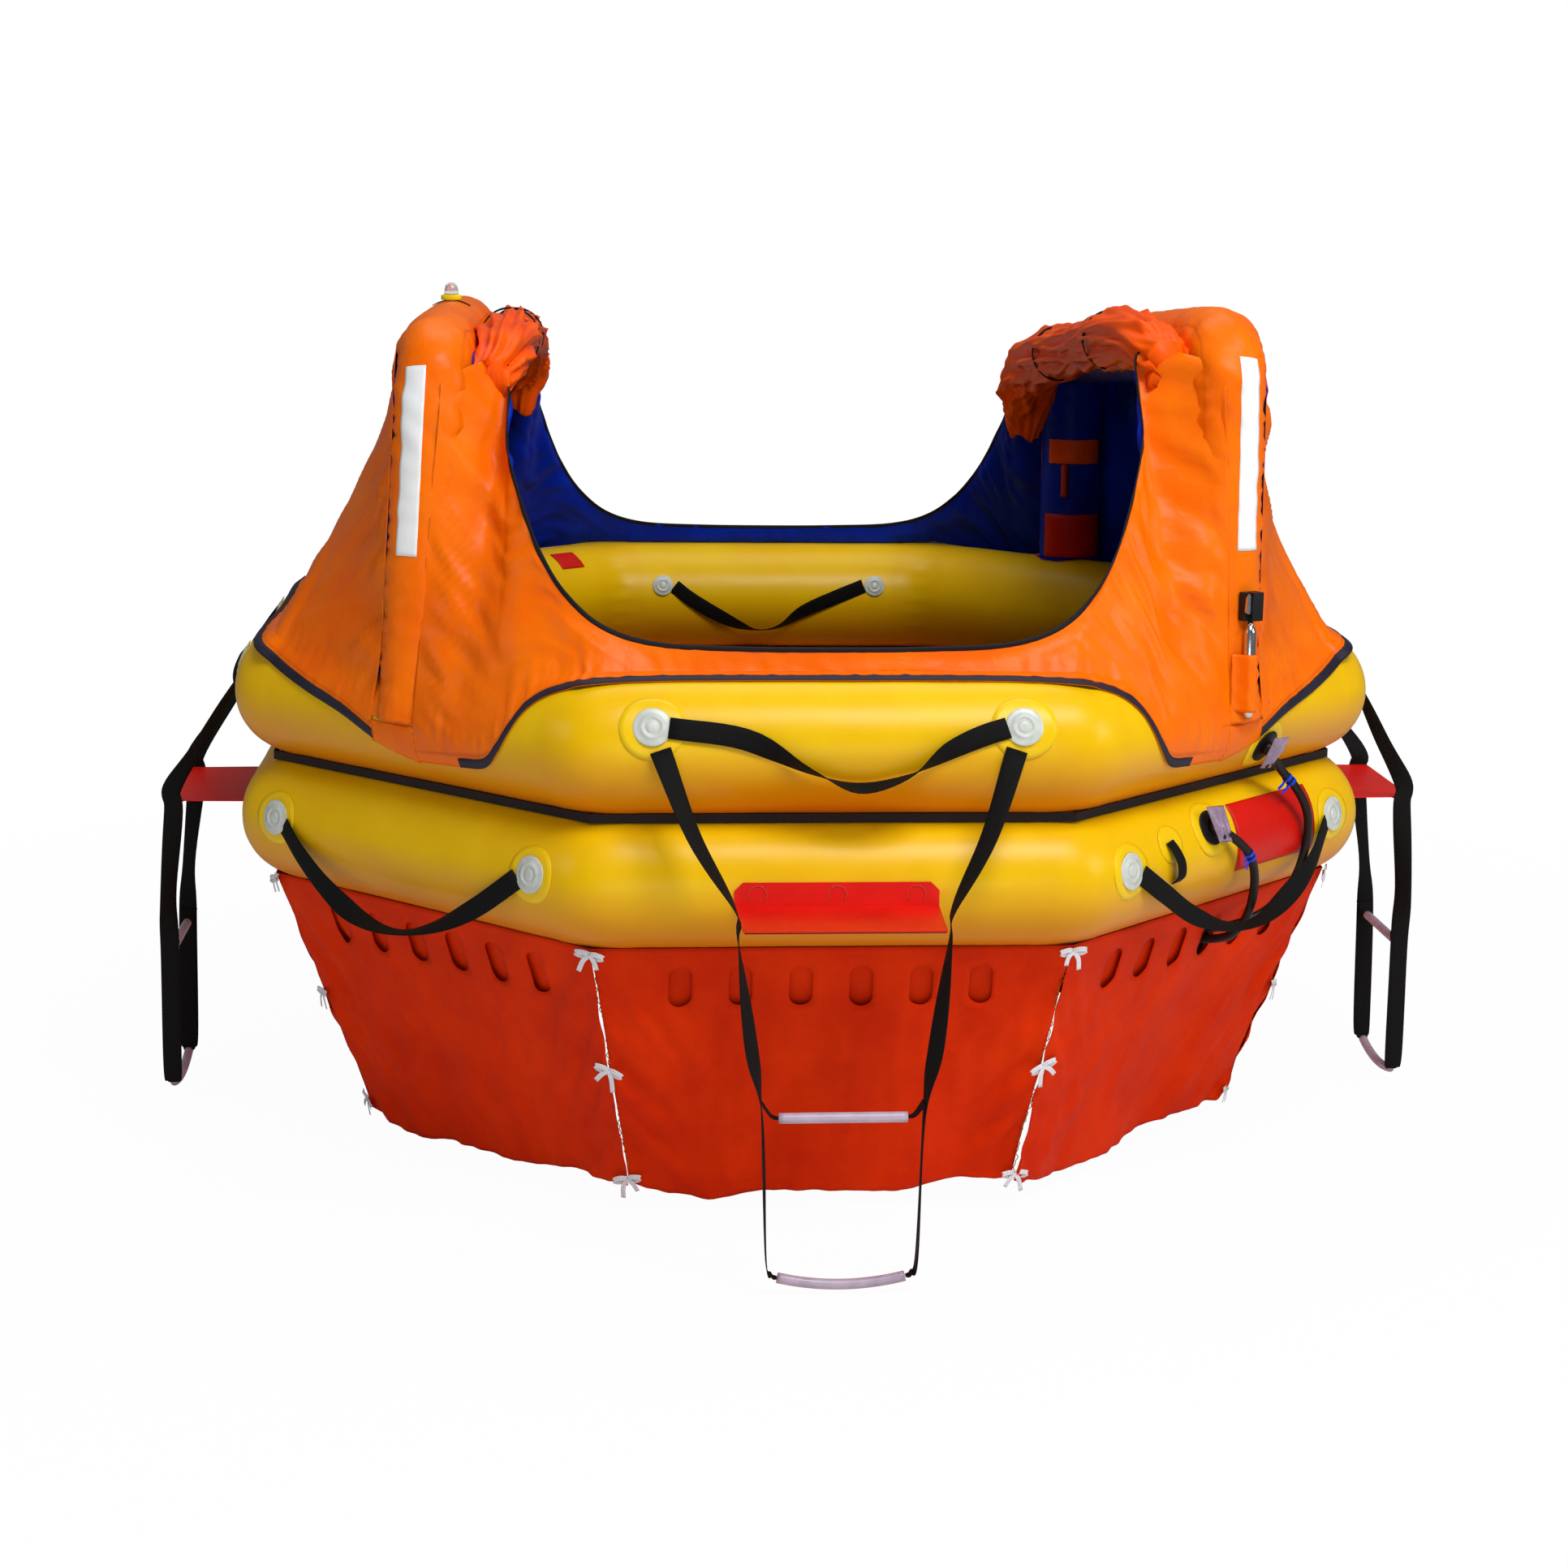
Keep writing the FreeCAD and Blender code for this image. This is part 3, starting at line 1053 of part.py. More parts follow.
body = new_body("inflator_housing")
plan = new_sketch(body, "inflator_plan", "XY_Plane")
recess, rear = "Sizes.lever_recess_wide", "Sizes.lever_recess_deep"
outline(plan, [(recess, "0"), ("Sizes.inflator_wide", "0"), ("Sizes.inflator_wide", "Sizes.inflator_deep"),
               ("0", "Sizes.inflator_deep"), ("0", rear), (recess, rear)])
block = body.newObject("PartDesign::Pad", "inflator_block")
block.Profile = plan
block.setExpression("Length", "Sizes.inflator_tall")
pin_face = new_sketch(body, "inflator_pin_face", "XZ_Plane")
circle(pin_face, "Sizes.lever_pivot_x", "Sizes.lever_pivot_z", "Sizes.lever_bore_r")
pin_bore = body.newObject("PartDesign::Pocket", "inflator_pin_bore")
pin_bore.Profile = pin_face
pin_bore.Type = "ThroughAll"
pin_bore.Midplane = True
body.Placement = stand
keep(body, "inflator_body")

lever = new_body("inflator_lever")
lever_face = new_sketch(lever, "lever_face", "XZ_Plane")
px, pz, hw = "Sizes.lever_pivot_x", "Sizes.lever_pivot_z", "Sizes.lever_wide / 2"
outline(lever_face, [
    (f"{px} + {hw} * cos({turn} deg)", f"{pz} + {hw} * sin({turn} deg)") for turn in (180, 216, 252, 288, 324, 360)]
    + [(f"{px} + {hw} - 1.5", "Sizes.lever_top_z - 8"), (f"{px} + {hw} * 0.3", "Sizes.lever_top_z"),
       (f"{px} - {hw} * 0.3", "Sizes.lever_top_z"), (f"{px} - {hw} + 1.5", "Sizes.lever_top_z - 8")])
circle(lever_face, px, pz, "Sizes.lever_bore_r")
arm = lever.newObject("PartDesign::Pad", "lever_arm")
arm.Profile = lever_face
arm.setExpression("Length", "Sizes.lever_thick")
lever.Placement = stand.multiply(FreeCAD.Placement(Vector(0, size("lever_recess_deep") - 1, 0), FreeCAD.Rotation()))
keep(lever, "inflator_lever")

pin = doc.addObject("Part::Cylinder", "inflator_pin")
pin.setExpression("Radius", "Sizes.lever_pin_r")
pin.setExpression("Height", "Sizes.inflator_deep - Sizes.lever_recess_deep + Sizes.lever_thick")
pivot = Vector(size("lever_pivot_x"), size("inflator_deep") - 1, size("lever_pivot_z"))
pin.Placement = stand.multiply(FreeCAD.Placement(pivot, FreeCAD.Rotation(Z, Vector(0, -1, 0))))
keep(pin, "inflator_pin")

charge_r = size("charge_dia") / 2
charge_out = ARCH_R + CLEAR + DEPTH / 2
charge_top = INFLATOR_FOOT - CLEAR
rings = [ring_of(by_leg(0, charge_out, charge_top - drop), ACROSS, FACING, radius)
         for drop, radius in ((0, 6), (9, 6), (24, charge_r), (size("charge_length") - 12, charge_r), (size("charge_length"), 8))]
shaped("inflator_cartridge", tube_of(rings))

bulge = [(-30, 78.6), (-15.8, 98), (-9, 113.8), (9, 113.8), (15.8, 98), (30, 78.6)]
pocket_foot = CREST - size("pocket_drop")
rows = [[by_leg(across, out, z) for across, out in bulge] for z in (pocket_foot, pocket_foot + size("pocket_tall"))]
shaped("inflator_pocket", cloth(rows, FABRIC, by_leg(0, 0, pocket_foot + size("pocket_tall") / 2)))

# ---------------------------------------------------------------------------------------------
# Sea light on the left arch
# ---------------------------------------------------------------------------------------------
left = arch_axis("left")
crest = blend(left[4], left[5], 0.5)
over_arch = [crest + Vector(math.cos(t), 0, math.sin(t)) * (ARCH_R + 4 * CLEAR + THICK / 2)
             for t in (math.radians(angle) for angle in (60, 81, 99, 120))]
shaped("sea_light_strap", strap(over_arch, [Vector(0, 1, 0)] * 4, 30, THICK))
light_foot = crest.z + ARCH_R + 3 * CLEAR + THICK
clip = doc.addObject("Part::Box", "sea_light_base")
clip.setExpression("Length", "Sizes.light_wide")
clip.setExpression("Width", "Sizes.light_deep")
clip.setExpression("Height", "Sizes.light_tall")
clip.Placement.Base = Vector(crest.x - size("light_wide") / 2, crest.y - size("light_deep") / 2, light_foot)
keep(clip, "sea_light_base")
lens_foot = light_foot + size("light_tall") + CLEAR
lens_r, lens_tall = size("light_lens_dia") / 2, size("light_lens_tall")
rings = [ring_of(Vector(crest.x, crest.y, lens_foot + lens_tall * rise), Vector(1, 0, 0), Vector(0, 1, 0), lens_r * spread)
         for rise, spread in ((0, 1), (0.45, 1), (0.8, 0.75), (1, 0.3))]
shaped("sea_light_lens", tube_of(rings))

# ---------------------------------------------------------------------------------------------
# Inside the canopy on the right back leg: label, pocket strip and safety knife; plain labels on the tubes
# ---------------------------------------------------------------------------------------------
def round_leg(z, half_angle, count, gap):
    """Points round the front of the right back leg at one height."""
    low, high = LEG[-1], LEG[-2]
    centre = blend(low, high, (z - low.z) / (high.z - low.z))
    turns = [math.radians(-90 + half_angle * (2 * i / (count - 1) - 1)) for i in range(count)]
    return [Vector(centre.x, centre.y, z) + Vector(math.cos(t), math.sin(t), 0) * (ARCH_R + gap) for t in turns]


leg_middle = blend(LEG[-1], LEG[-2], 0.4)
label_foot, strip_foot = CREST + size("leg_label_rise"), CREST + size("knife_strip_rise")
heights = (label_foot, label_foot + size("leg_label_tall"))
shaped("leg_label", cloth([round_leg(z, 62, 7, 2) for z in heights], 1, leg_middle))
heights = (strip_foot, strip_foot + size("knife_strip_tall"))
shaped("knife_pocket", cloth([round_leg(z, 54, 7, 2) for z in heights], FABRIC, leg_middle))
grip = [round_leg(strip_foot - 1 - drop, 20, 3, size("knife_dia") / 2 + CLEAR)[0] for drop in (0, size("knife_length"))]
rings = [ring_of(spot, Vector(1, 0, 0), Vector(0, 1, 0), size("knife_dia") / 2) for spot in grip]
shaped("safety_knife", tube_of(rings))

rows = [[on_tube(1, along, angle, 1.2, False) for angle in (-18, -8, 2, 12, 22, 32, 42)] for along in (2, 328)]
shaped("side_label", cloth(rows, 1, middle))
rows = [[on_tube(5, along, angle, 1.2) for angle in (113, 121, 129, 137)] for along in (-322, -238)]
shaped("inner_label", cloth(rows, 1, on_tube(5, -280, 90, -TUBE_R)))

# ---------------------------------------------------------------------------------------------
# Check and write
# ---------------------------------------------------------------------------------------------
doc.recompute()
for thing in doc.Objects:
    if "Invalid" in thing.State or "Error" in thing.State:
        raise RuntimeError(f"{thing.Label} failed: {thing.State}")
os.makedirs("parts", exist_ok=True)
for node in NODES:
    if node.Shape.isNull() or not node.Shape.isValid():
        raise RuntimeError(f"{node.Label} has no valid shape")
for node in NODES:
    node.Shape.exportStep(f"parts/{node.Label}.step")
print(len(NODES), "nodes written")
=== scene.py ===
import math

import bmesh
import bpy
import numpy as np
from mathutils import Matrix, Vector, geometry, noise


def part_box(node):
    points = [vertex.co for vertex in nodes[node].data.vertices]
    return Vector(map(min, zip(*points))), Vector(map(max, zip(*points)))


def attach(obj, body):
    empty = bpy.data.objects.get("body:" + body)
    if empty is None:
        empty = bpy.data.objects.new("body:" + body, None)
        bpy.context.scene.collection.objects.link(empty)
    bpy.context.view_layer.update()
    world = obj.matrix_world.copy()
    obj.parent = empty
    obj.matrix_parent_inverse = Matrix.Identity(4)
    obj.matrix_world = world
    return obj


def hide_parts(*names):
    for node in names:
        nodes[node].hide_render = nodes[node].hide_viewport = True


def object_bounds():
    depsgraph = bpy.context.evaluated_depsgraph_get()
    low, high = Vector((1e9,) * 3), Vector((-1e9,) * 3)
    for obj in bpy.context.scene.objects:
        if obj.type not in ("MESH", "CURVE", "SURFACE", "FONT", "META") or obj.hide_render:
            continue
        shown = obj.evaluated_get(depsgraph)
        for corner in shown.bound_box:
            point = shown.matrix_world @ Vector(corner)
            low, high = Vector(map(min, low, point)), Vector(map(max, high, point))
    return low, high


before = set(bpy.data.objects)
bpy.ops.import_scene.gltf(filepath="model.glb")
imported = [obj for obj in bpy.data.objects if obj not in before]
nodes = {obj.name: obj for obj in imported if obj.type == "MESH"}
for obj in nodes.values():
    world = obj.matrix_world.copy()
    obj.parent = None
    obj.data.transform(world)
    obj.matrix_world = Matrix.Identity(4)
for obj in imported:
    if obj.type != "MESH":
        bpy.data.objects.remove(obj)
cad_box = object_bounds()
scene = bpy.context.scene
scene.view_settings.view_transform = "Standard"

# ---------------------------------------------------------------------------------------------
# Camera, studio lights and floor. The raft hangs just clear of a white studio floor, lit by a
# large soft box above the camera, and by weaker ones at the sides, overhead and low in front.
# ---------------------------------------------------------------------------------------------
camera = bpy.data.objects.new("camera", bpy.data.cameras.new("camera"))
scene.collection.objects.link(camera)
scene.camera = camera
looks_right = Vector((0.99636, -0.08399, 0.01425))
looks_up = Vector((0.00294, 0.20111, 0.97956))
looks_back = Vector((-0.08514, -0.97596, 0.20062))
camera.matrix_world = Matrix.Translation((-0.5128, -7.1072, 1.5502)) @ Matrix(
    (looks_right, looks_up, looks_back)).transposed().to_4x4()
camera.data.sensor_width = 36
camera.data.lens = 66.41
camera.data.shift_x = -0.0326
camera.data.shift_y = 0.0074
camera.data.clip_end = 60


def linear(code):
    """An sRGB hex colour as linear RGBA."""
    parts = [int(code[i:i + 2], 16) / 255 for i in (1, 3, 5)]
    return tuple(c / 12.92 if c <= 0.04045 else ((c + 0.055) / 1.055) ** 2.4 for c in parts) + (1.0,)


def add(tree, kind, inputs=None, **settings):
    """A shader node with its settings; each input is a plain value or another node's output."""
    node = tree.nodes.new("ShaderNode" + kind)
    for name, value in settings.items():
        setattr(node, name, value)
    for socket, value in (inputs or {}).items():
        if isinstance(value, bpy.types.NodeSocket):
            tree.links.new(value, node.inputs[socket])
        else:
            node.inputs[socket].default_value = value
    return node


def soft_box(name, place, aim, wide, tall, watts):
    lamp = bpy.data.lights.new(name, "AREA")
    lamp.shape = "RECTANGLE"
    lamp.size, lamp.size_y, lamp.energy = wide, tall, watts
    held = bpy.data.objects.new(name, lamp)
    held.location = place
    held.rotation_euler = (Vector(aim) - Vector(place)).to_track_quat("-Z", "Y").to_euler()
    scene.collection.objects.link(held)


soft_box("key_box", (1.4, -4.4, 5.2), (0, -0.3, 0.3), 3.0, 2.0, 275)
soft_box("left_box", (-5.5, -3.0, 2.6), (0, 0, 0.4), 2.0, 2.0, 30)
soft_box("right_box", (5.5, -3.4, 2.6), (0, 0, 0.4), 2.0, 2.0, 80)
soft_box("top_box", (0, 1.2, 5.5), (0, 0, 0.8), 4.0, 3.0, 85)
soft_box("low_box", (0, -6.5, 0.3), (0, 0, 0.1), 3.0, 1.0, 26)

# World: soft grey light on the raft, pure white behind it.
scene.world = bpy.data.worlds.new("studio")
scene.world.use_nodes = True
sky = scene.world.node_tree
seen = add(sky, "LightPath")
seen_by = add(sky, "Math", {0: seen.outputs["Is Camera Ray"], 1: seen.outputs["Is Transmission Ray"]},
              operation="MAXIMUM")
white = add(sky, "Background", {"Color": (1, 1, 1, 1), "Strength": 1.0})
ambient = add(sky, "Background", {"Color": (1, 1, 1, 1), "Strength": 0.15})
both = add(sky, "MixShader", {0: seen_by.outputs[0], 1: ambient.outputs[0], 2: white.outputs[0]})
sky.links.new(both.outputs[0], sky.nodes["World Output"].inputs["Surface"])

floor_z = cad_box[0].z - 0.012
floor_mesh = bpy.data.meshes.new("studio_floor")
floor_mesh.from_pydata([(x, y, floor_z) for x, y in ((-14, -12), (14, -12), (14, 26), (-14, 26))], [],
                       [(0, 1, 2, 3)])
studio_floor = bpy.data.objects.new("studio_floor", floor_mesh)
scene.collection.objects.link(studio_floor)
paper = bpy.data.materials.new("white_paper")
paper.use_nodes = True
tree = paper.node_tree
tree.nodes["Principled BSDF"].inputs["Base Color"].default_value = linear("#F4F4F4")
tree.nodes["Principled BSDF"].inputs["Roughness"].default_value = 0.9
glow = add(tree, "Emission", {"Color": (1, 1, 1, 1), "Strength": 1.0})
seen = add(tree, "LightPath")
spread = add(tree, "VectorMath", {0: add(tree, "TexCoord").outputs["Object"]}, operation="LENGTH")
share = add(tree, "MapRange", {"Value": spread.outputs["Value"], "From Min": 1.6, "From Max": 4.5,
                               "To Min": 0.97, "To Max": 1.0})
seen_by = add(tree, "Math", {0: seen.outputs["Is Camera Ray"], 1: share.outputs[0]}, operation="MULTIPLY")
both = add(tree, "MixShader", {0: seen_by.outputs[0], 1: tree.nodes["Principled BSDF"].outputs[0],
                               2: glow.outputs[0]})
tree.links.new(both.outputs[0], tree.nodes["Material Output"].inputs["Surface"])
floor_mesh.materials.append(paper)

# ---------------------------------------------------------------------------------------------
# Buoyancy tubes: two rings of polyurethane-coated nylon, each cut as eight straight lengths that
# are welded together at the mitres with overlapping bands, then blown up hard and glued together.
# ---------------------------------------------------------------------------------------------
TUBE_R, LOWER_OUT, UPPER_OUT, LOWER_Z, UPPER_Z = 0.150, 1.160, 1.168, 0.150, 0.442
TAN = math.tan(math.radians(22.5))
FACINGS = np.radians(45 * np.arange(8) - 90)


def outward(facet):
    turn = math.radians(45 * facet - 90)
    return np.array([math.cos(turn), math.sin(turn), 0])


def sideways(facet):
    out = outward(facet)
    return np.array([-out[1], out[0], 0])


def at(facet, along, out, z):
    """A point by a facet: along it, out from the middle of the raft, and up."""
    return outward(facet) * out + sideways(facet) * along + np.array([0, 0, z])


def on_tube(facet, along, angle, lift, upper=True):
    """A point over a tube's skin; angle is measured up from the tube's widest line."""
    centre, height = (UPPER_OUT, UPPER_Z) if upper else (LOWER_OUT, LOWER_Z)
    reach, turn = TUBE_R + lift, math.radians(angle)
    return at(facet, along, centre + reach * math.cos(turn), height + reach * math.sin(turn))


def roundness(turn):
    """How far out the softened octagon stands at a bearing: 1 on a facet's middle, less at its corners."""
    spread = np.cos(np.asarray(turn)[..., None] - FACINGS).clip(0)
    return (spread ** 70).sum(-1) ** (1 / 70)


def off_tube(points, upper, lift, standing=False):
    """Moves points in a tube, or too near to it, out to lift over its skin; a standing piece only rises."""
    points = np.array(points, float)
    centre, height = (UPPER_OUT, UPPER_Z) if upper else (LOWER_OUT, LOWER_Z)
    share = roundness(np.arctan2(points[..., 1], points[..., 0]))
    reach = np.hypot(points[..., 0], points[..., 1])
    out, rise = reach * share - centre, points[..., 2] - height
    away = np.hypot(out, rise).clip(1e-6)
    push = np.maximum((TUBE_R + lift) / away, 1)
    if standing:
        hidden = (push > 1) & (out < 0.03)
        over = np.sqrt(((TUBE_R + lift) ** 2 - out ** 2).clip(0))
        push = np.where(hidden, 1, push)
        rise = np.where(hidden, over, rise)
    fresh = (centre + out * push) / share
    points[..., 0] *= fresh / reach
    points[..., 1] *= fresh / reach
    points[..., 2] = height + rise * push
    return points


def ripple(u, v, seed):
    """Smooth noise from -1 to 1 over two arrays of coordinates, already divided by the ripple's size."""
    flat = [noise.noise(Vector((a, b, seed))) for a, b in zip(np.ravel(u), np.ravel(v))]
    return np.array(flat).reshape(np.shape(u)) * 1.6


def grid_piece(name, grid, finish, uv=None, wrap=False, loop=False, cap=False, shade=None):
    """A piece over rows of points. wrap closes each row, loop closes the rows, cap closes both ends."""
    rows, cols = grid.shape[:2]
    faces = []
    for i in range(rows if loop else rows - 1):
        for j in range(cols if wrap else cols - 1):
            a, b, k = i * cols, (i + 1) % rows * cols, (j + 1) % cols
            faces.append((a + j, a + k, b + k, b + j))
    if cap:
        faces += [tuple(range(cols))[::-1], tuple((rows - 1) * cols + j for j in range(cols))]
    mesh = bpy.data.meshes.new(name)
    mesh.from_pydata(grid.reshape(-1, 3).tolist(), [], faces)
    if wrap:
        shell = bmesh.new()
        shell.from_mesh(mesh)
        bmesh.ops.recalc_face_normals(shell, faces=shell.faces)
        shell.to_mesh(mesh)
        shell.free()
    return dress(name, mesh, finish, None if uv is None else uv.reshape(-1, 2), shade)


def dress(name, mesh, finish, uv=None, shade=None):
    """Makes an object of a mesh, with smooth faces, its material, and cloth coordinates in metres."""
    mesh.materials.append(finish)
    mesh.polygons.foreach_set("use_smooth", [True] * len(mesh.polygons))
    if uv is not None:
        layer = mesh.uv_layers.new(name="cloth")
        corners = np.zeros(len(mesh.loops), int)
        mesh.loops.foreach_get("vertex_index", corners)
        layer.data.foreach_set("uv", np.asarray(uv, np.float32)[corners].ravel())
    if shade is not None:
        tone = mesh.attributes.new("tone", "FLOAT", "POINT")
        tone.data.foreach_set("value", np.asarray(shade, np.float32).ravel())
    piece = bpy.data.objects.new(name, mesh)
    scene.collection.objects.link(piece)
    return piece


def part_of_raft(piece, slot, *replaced):
    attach(piece, "raft")
    if replaced:
        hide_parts(*replaced)
    return piece


# Coated nylon, calendered polyurethane skin: satin, a little cloudy, with a faint cloth grain; the under colour is
# painted shade on faces that point down.
def coated_cloth(name, lit, deep, rough, grain_mm, grain=0.12, crinkle=0.0, crinkle_mm=60, sheen=0.0,
                 tone=None, under=None, shine=0.22):
    finish = bpy.data.materials.new(name)
    finish.use_nodes = True
    tree = finish.node_tree
    shader = tree.nodes["Principled BSDF"]
    shader.inputs["IOR"].default_value = 1.5
    shader.inputs["Sheen Weight"].default_value = sheen
    shader.inputs["Specular IOR Level"].default_value = shine
    where = add(tree, "TexCoord").outputs["Object"]
    cloud = add(tree, "TexNoise", {"Vector": where, "Scale": 5.0, "Detail": 5.0, "Roughness": 0.6})
    ramp = add(tree, "MapRange", {"Value": cloud.outputs["Fac"], "From Min": 0.3, "From Max": 0.7})
    colour = add(tree, "Mix", {0: ramp.outputs[0], 6: linear(deep), 7: linear(lit)},
                 data_type="RGBA").outputs[2]
    if tone:
        mark = add(tree, "Attribute", attribute_name="tone").outputs["Fac"]
        colour = add(tree, "Mix", {0: mark, 6: colour, 7: linear(tone)}, data_type="RGBA").outputs[2]
    # Painted shade: faces that point down are mixed toward the under colour, as if the underside lay in shadow.
    if under:
        faces = add(tree, "SeparateXYZ", {0: add(tree, "NewGeometry").outputs["Normal"]}).outputs["Z"]
        low = add(tree, "MapRange", {"Value": faces, "From Min": 0.15, "From Max": -0.85})
        colour = add(tree, "Mix", {0: low.outputs[0], 6: colour, 7: linear(under)}, data_type="RGBA").outputs[2]
    tree.links.new(colour, shader.inputs["Base Color"])
    gloss = add(tree, "MapRange", {"Value": cloud.outputs["Fac"], "From Min": 0.3, "From Max": 0.7,
                                   "To Min": rough - 0.05, "To Max": rough + 0.06})
    tree.links.new(gloss.outputs[0], shader.inputs["Roughness"])
    fine = add(tree, "TexNoise", {"Vector": where, "Scale": 1000 / grain_mm, "Detail": 2.0})
    bump = add(tree, "Bump", {"Height": fine.outputs["Fac"], "Strength": grain, "Distance": grain_mm / 4000})
    if crinkle:
        fold = add(tree, "TexNoise", {"Vector": where, "Scale": 1000 / crinkle_mm, "Detail": 4.0,
                                      "Distortion": 0.6})
        bump = add(tree, "Bump", {"Height": fold.outputs["Fac"], "Strength": crinkle,
                                  "Distance": crinkle_mm / 9000,
                                  "Normal": bump.outputs[0]})
    tree.links.new(bump.outputs[0], shader.inputs["Normal"])
    return finish


# The under colour #D67A00 is painted shade: a deeper amber wherever the tubes face down.
tube_yellow = coated_cloth("polyurethane_coated_nylon_yellow", "#F2C400", "#EBB800", 0.33, 4, 0.08, 0.05,
                           90, tone="#CC8400", under="#D67A00")


def buoyancy_ring(name, out, height, flat):
    """A ring swept round the softened octagon, flat where it is welded to the other one."""
    bearings = np.radians(np.arange(0, 360, 0.75)) + math.radians(0.375)
    turns = 2 * np.pi * np.arange(72) / 72
    bearing, turn = np.meshgrid(bearings, turns, indexing="ij")
    share = roundness(bearing)
    nearest = (np.degrees(bearing) + 22.5) % 45 - 22.5
    from_corner = (22.5 - np.abs(nearest)) / 22.5 * out * TAN
    # The welded bands stand proud, the skin puckers beside the mitre, and pulls in a little inside the ring.
    band = 1 / (1 + np.exp((from_corner - 0.082) / 0.0016))
    pucker = np.exp(-(from_corner / 0.03) ** 2) * np.sin(turn * 23) * 0.0012 * (np.cos(turn) < 0.35)
    radius = TUBE_R - 0.0012 + band * 0.0011 + pucker + 0.0005 * ripple(bearing * 9, turn * 2, 3.1)
    rise = radius * np.sin(turn)
    weld = TUBE_R - 0.004
    rise = np.minimum(rise, weld) if flat > 0 else np.maximum(rise, -weld)
    reach = (out + radius * np.cos(turn)) / share
    grid = np.stack([reach * np.cos(bearing), reach * np.sin(bearing), height + rise], -1)
    edge = np.exp(-((from_corner - 0.084) / 0.0022) ** 2) * 0.75 + np.exp(-(from_corner / 0.004) ** 2) * 0.25
    return grid_piece(name, grid, tube_yellow, wrap=True, loop=True, shade=edge + band * 0.08)


part_of_raft(buoyancy_ring("lower_ring", LOWER_OUT, LOWER_Z, +1), "tube_fabric", "lower_tube")
part_of_raft(buoyancy_ring("upper_ring", UPPER_OUT, UPPER_Z, -1), "tube_fabric", "upper_tube")


def skin_disc(name, facet, along, angle, upper, radius, lift, finish, sides=48, rings=6, thick=0.0008):
    """A round patch of cloth that follows the tube's skin, with a rounded rim."""
    rows = []
    for i in range(rings + 2):
        share = min(i / rings, 1)
        high = lift + thick if i < rings else (lift + thick * 0.6 if i == rings else lift - 0.0012)
        row = []
        for j in range(sides):
            turn = 2 * math.pi * j / sides
            reach = max(share * radius, 0.0004) + (0.0004 if i > rings else 0)
            spot = on_tube(facet, along + reach * math.cos(turn),
                           angle + math.degrees(reach * math.sin(turn) / TUBE_R), high, upper)
            row.append(spot)
        rows.append(row)
    return grid_piece(name, np.array(rows), finish, wrap=True)


# Round reinforcements of the tube's own cloth are welded on wherever a patch or fitting will pull.
SIDE_FACETS, CORNER_FACETS = (0, 2, 4, 6), (1, 3, 5, 7)
patch_yellow = coated_cloth("welded_patch_yellow", "#F4CB10", "#EDC008", 0.3, 4, 0.08)
for facet in SIDE_FACETS:
    for along in (-0.382, 0.382):
        piece = skin_disc(f"reinforcement_{facet}_{'ab'[along > 0]}", facet, along, 23, True, 0.068, 0.0004,
                          patch_yellow)
        part_of_raft(piece, "tube_fabric")
for facet in CORNER_FACETS:
    for along in (-0.412, 0.412):
        piece = skin_disc(f"reinforcement_{facet}_{'ab'[along > 0]}", facet, along, 9, False, 0.062, 0.0004,
                          patch_yellow)
        part_of_raft(piece, "tube_fabric")

# ---------------------------------------------------------------------------------------------
# Crevice tape and floor: a dark rubberised tape closes the gap between the tubes, and a black
# coated floor is welded under the lower one.
# ---------------------------------------------------------------------------------------------
crevice_black = coated_cloth("rubberised_tape_black", "#2A1D1E", "#160E10", 0.6, 3, 0.3)
floor_dark = coated_cloth("coated_floor_dark", "#20222C", "#14161D", 0.55, 5, 0.3, 0.3, 120)
nodes["joint_tape"].data.materials.clear()
nodes["joint_tape"].data.materials.append(crevice_black)
nodes["floor"].data.materials.clear()
nodes["floor"].data.materials.append(floor_dark)


def keep_cad(name, finish):
    """A solid that is right as it is gets its material."""
    nodes[name].data.materials.clear()
    nodes[name].data.materials.append(finish)


# ---------------------------------------------------------------------------------------------
# Skirt: eight tapered panels of coated orange cloth with rounded water slots and a flap behind them,
# hung under the lower tube, laced at the corners with yellow cord and tied with bows of white tape.
# ---------------------------------------------------------------------------------------------
skirt_orange = coated_cloth("coated_polyester_orange_red", "#E63600", "#CE2600", 0.6, 5, 0.2, 0.3, 130,
                            shine=0.06)
SKIRT_OUT, SKIRT_TOP, TAPER, DROP = 1.231, 0.0168, 0.207, 0.590
SLOPE = math.hypot(TAPER, DROP)
TOP_HALF = SKIRT_OUT * TAN - 0.0005
LOW_HALF = TOP_HALF - TAPER * TAN


def billow(facet, x, s):
    """How far the hung cloth stands off its plane: slack in the middle, pulled in creases from the ties."""
    share, slant = s / SLOPE, np.where(x > 0, 1, -1)
    hang = np.minimum(share * 1.4, 1) * (1 - (np.abs(x) / TOP_HALF) ** 4)
    off = hang * (0.018 * ripple(x * 3.6, s * 1.0, facet * 7.3) + 0.009 * ripple(x * 9 + s * 3, s * 2.0,
            facet * 3.7 + 9))
    pull = np.exp(-np.abs(np.abs(x) - LOW_HALF) / 0.16) * np.minimum(share * 4, 1)
    off += pull * 0.011 * ripple((x * slant + s * 0.7) * 24, (x * slant - s) * 4, facet * 1.9)
    return off + 0.0035 * ripple(x * 30, s * 6, facet + 40) * np.minimum(share * 3, 1)


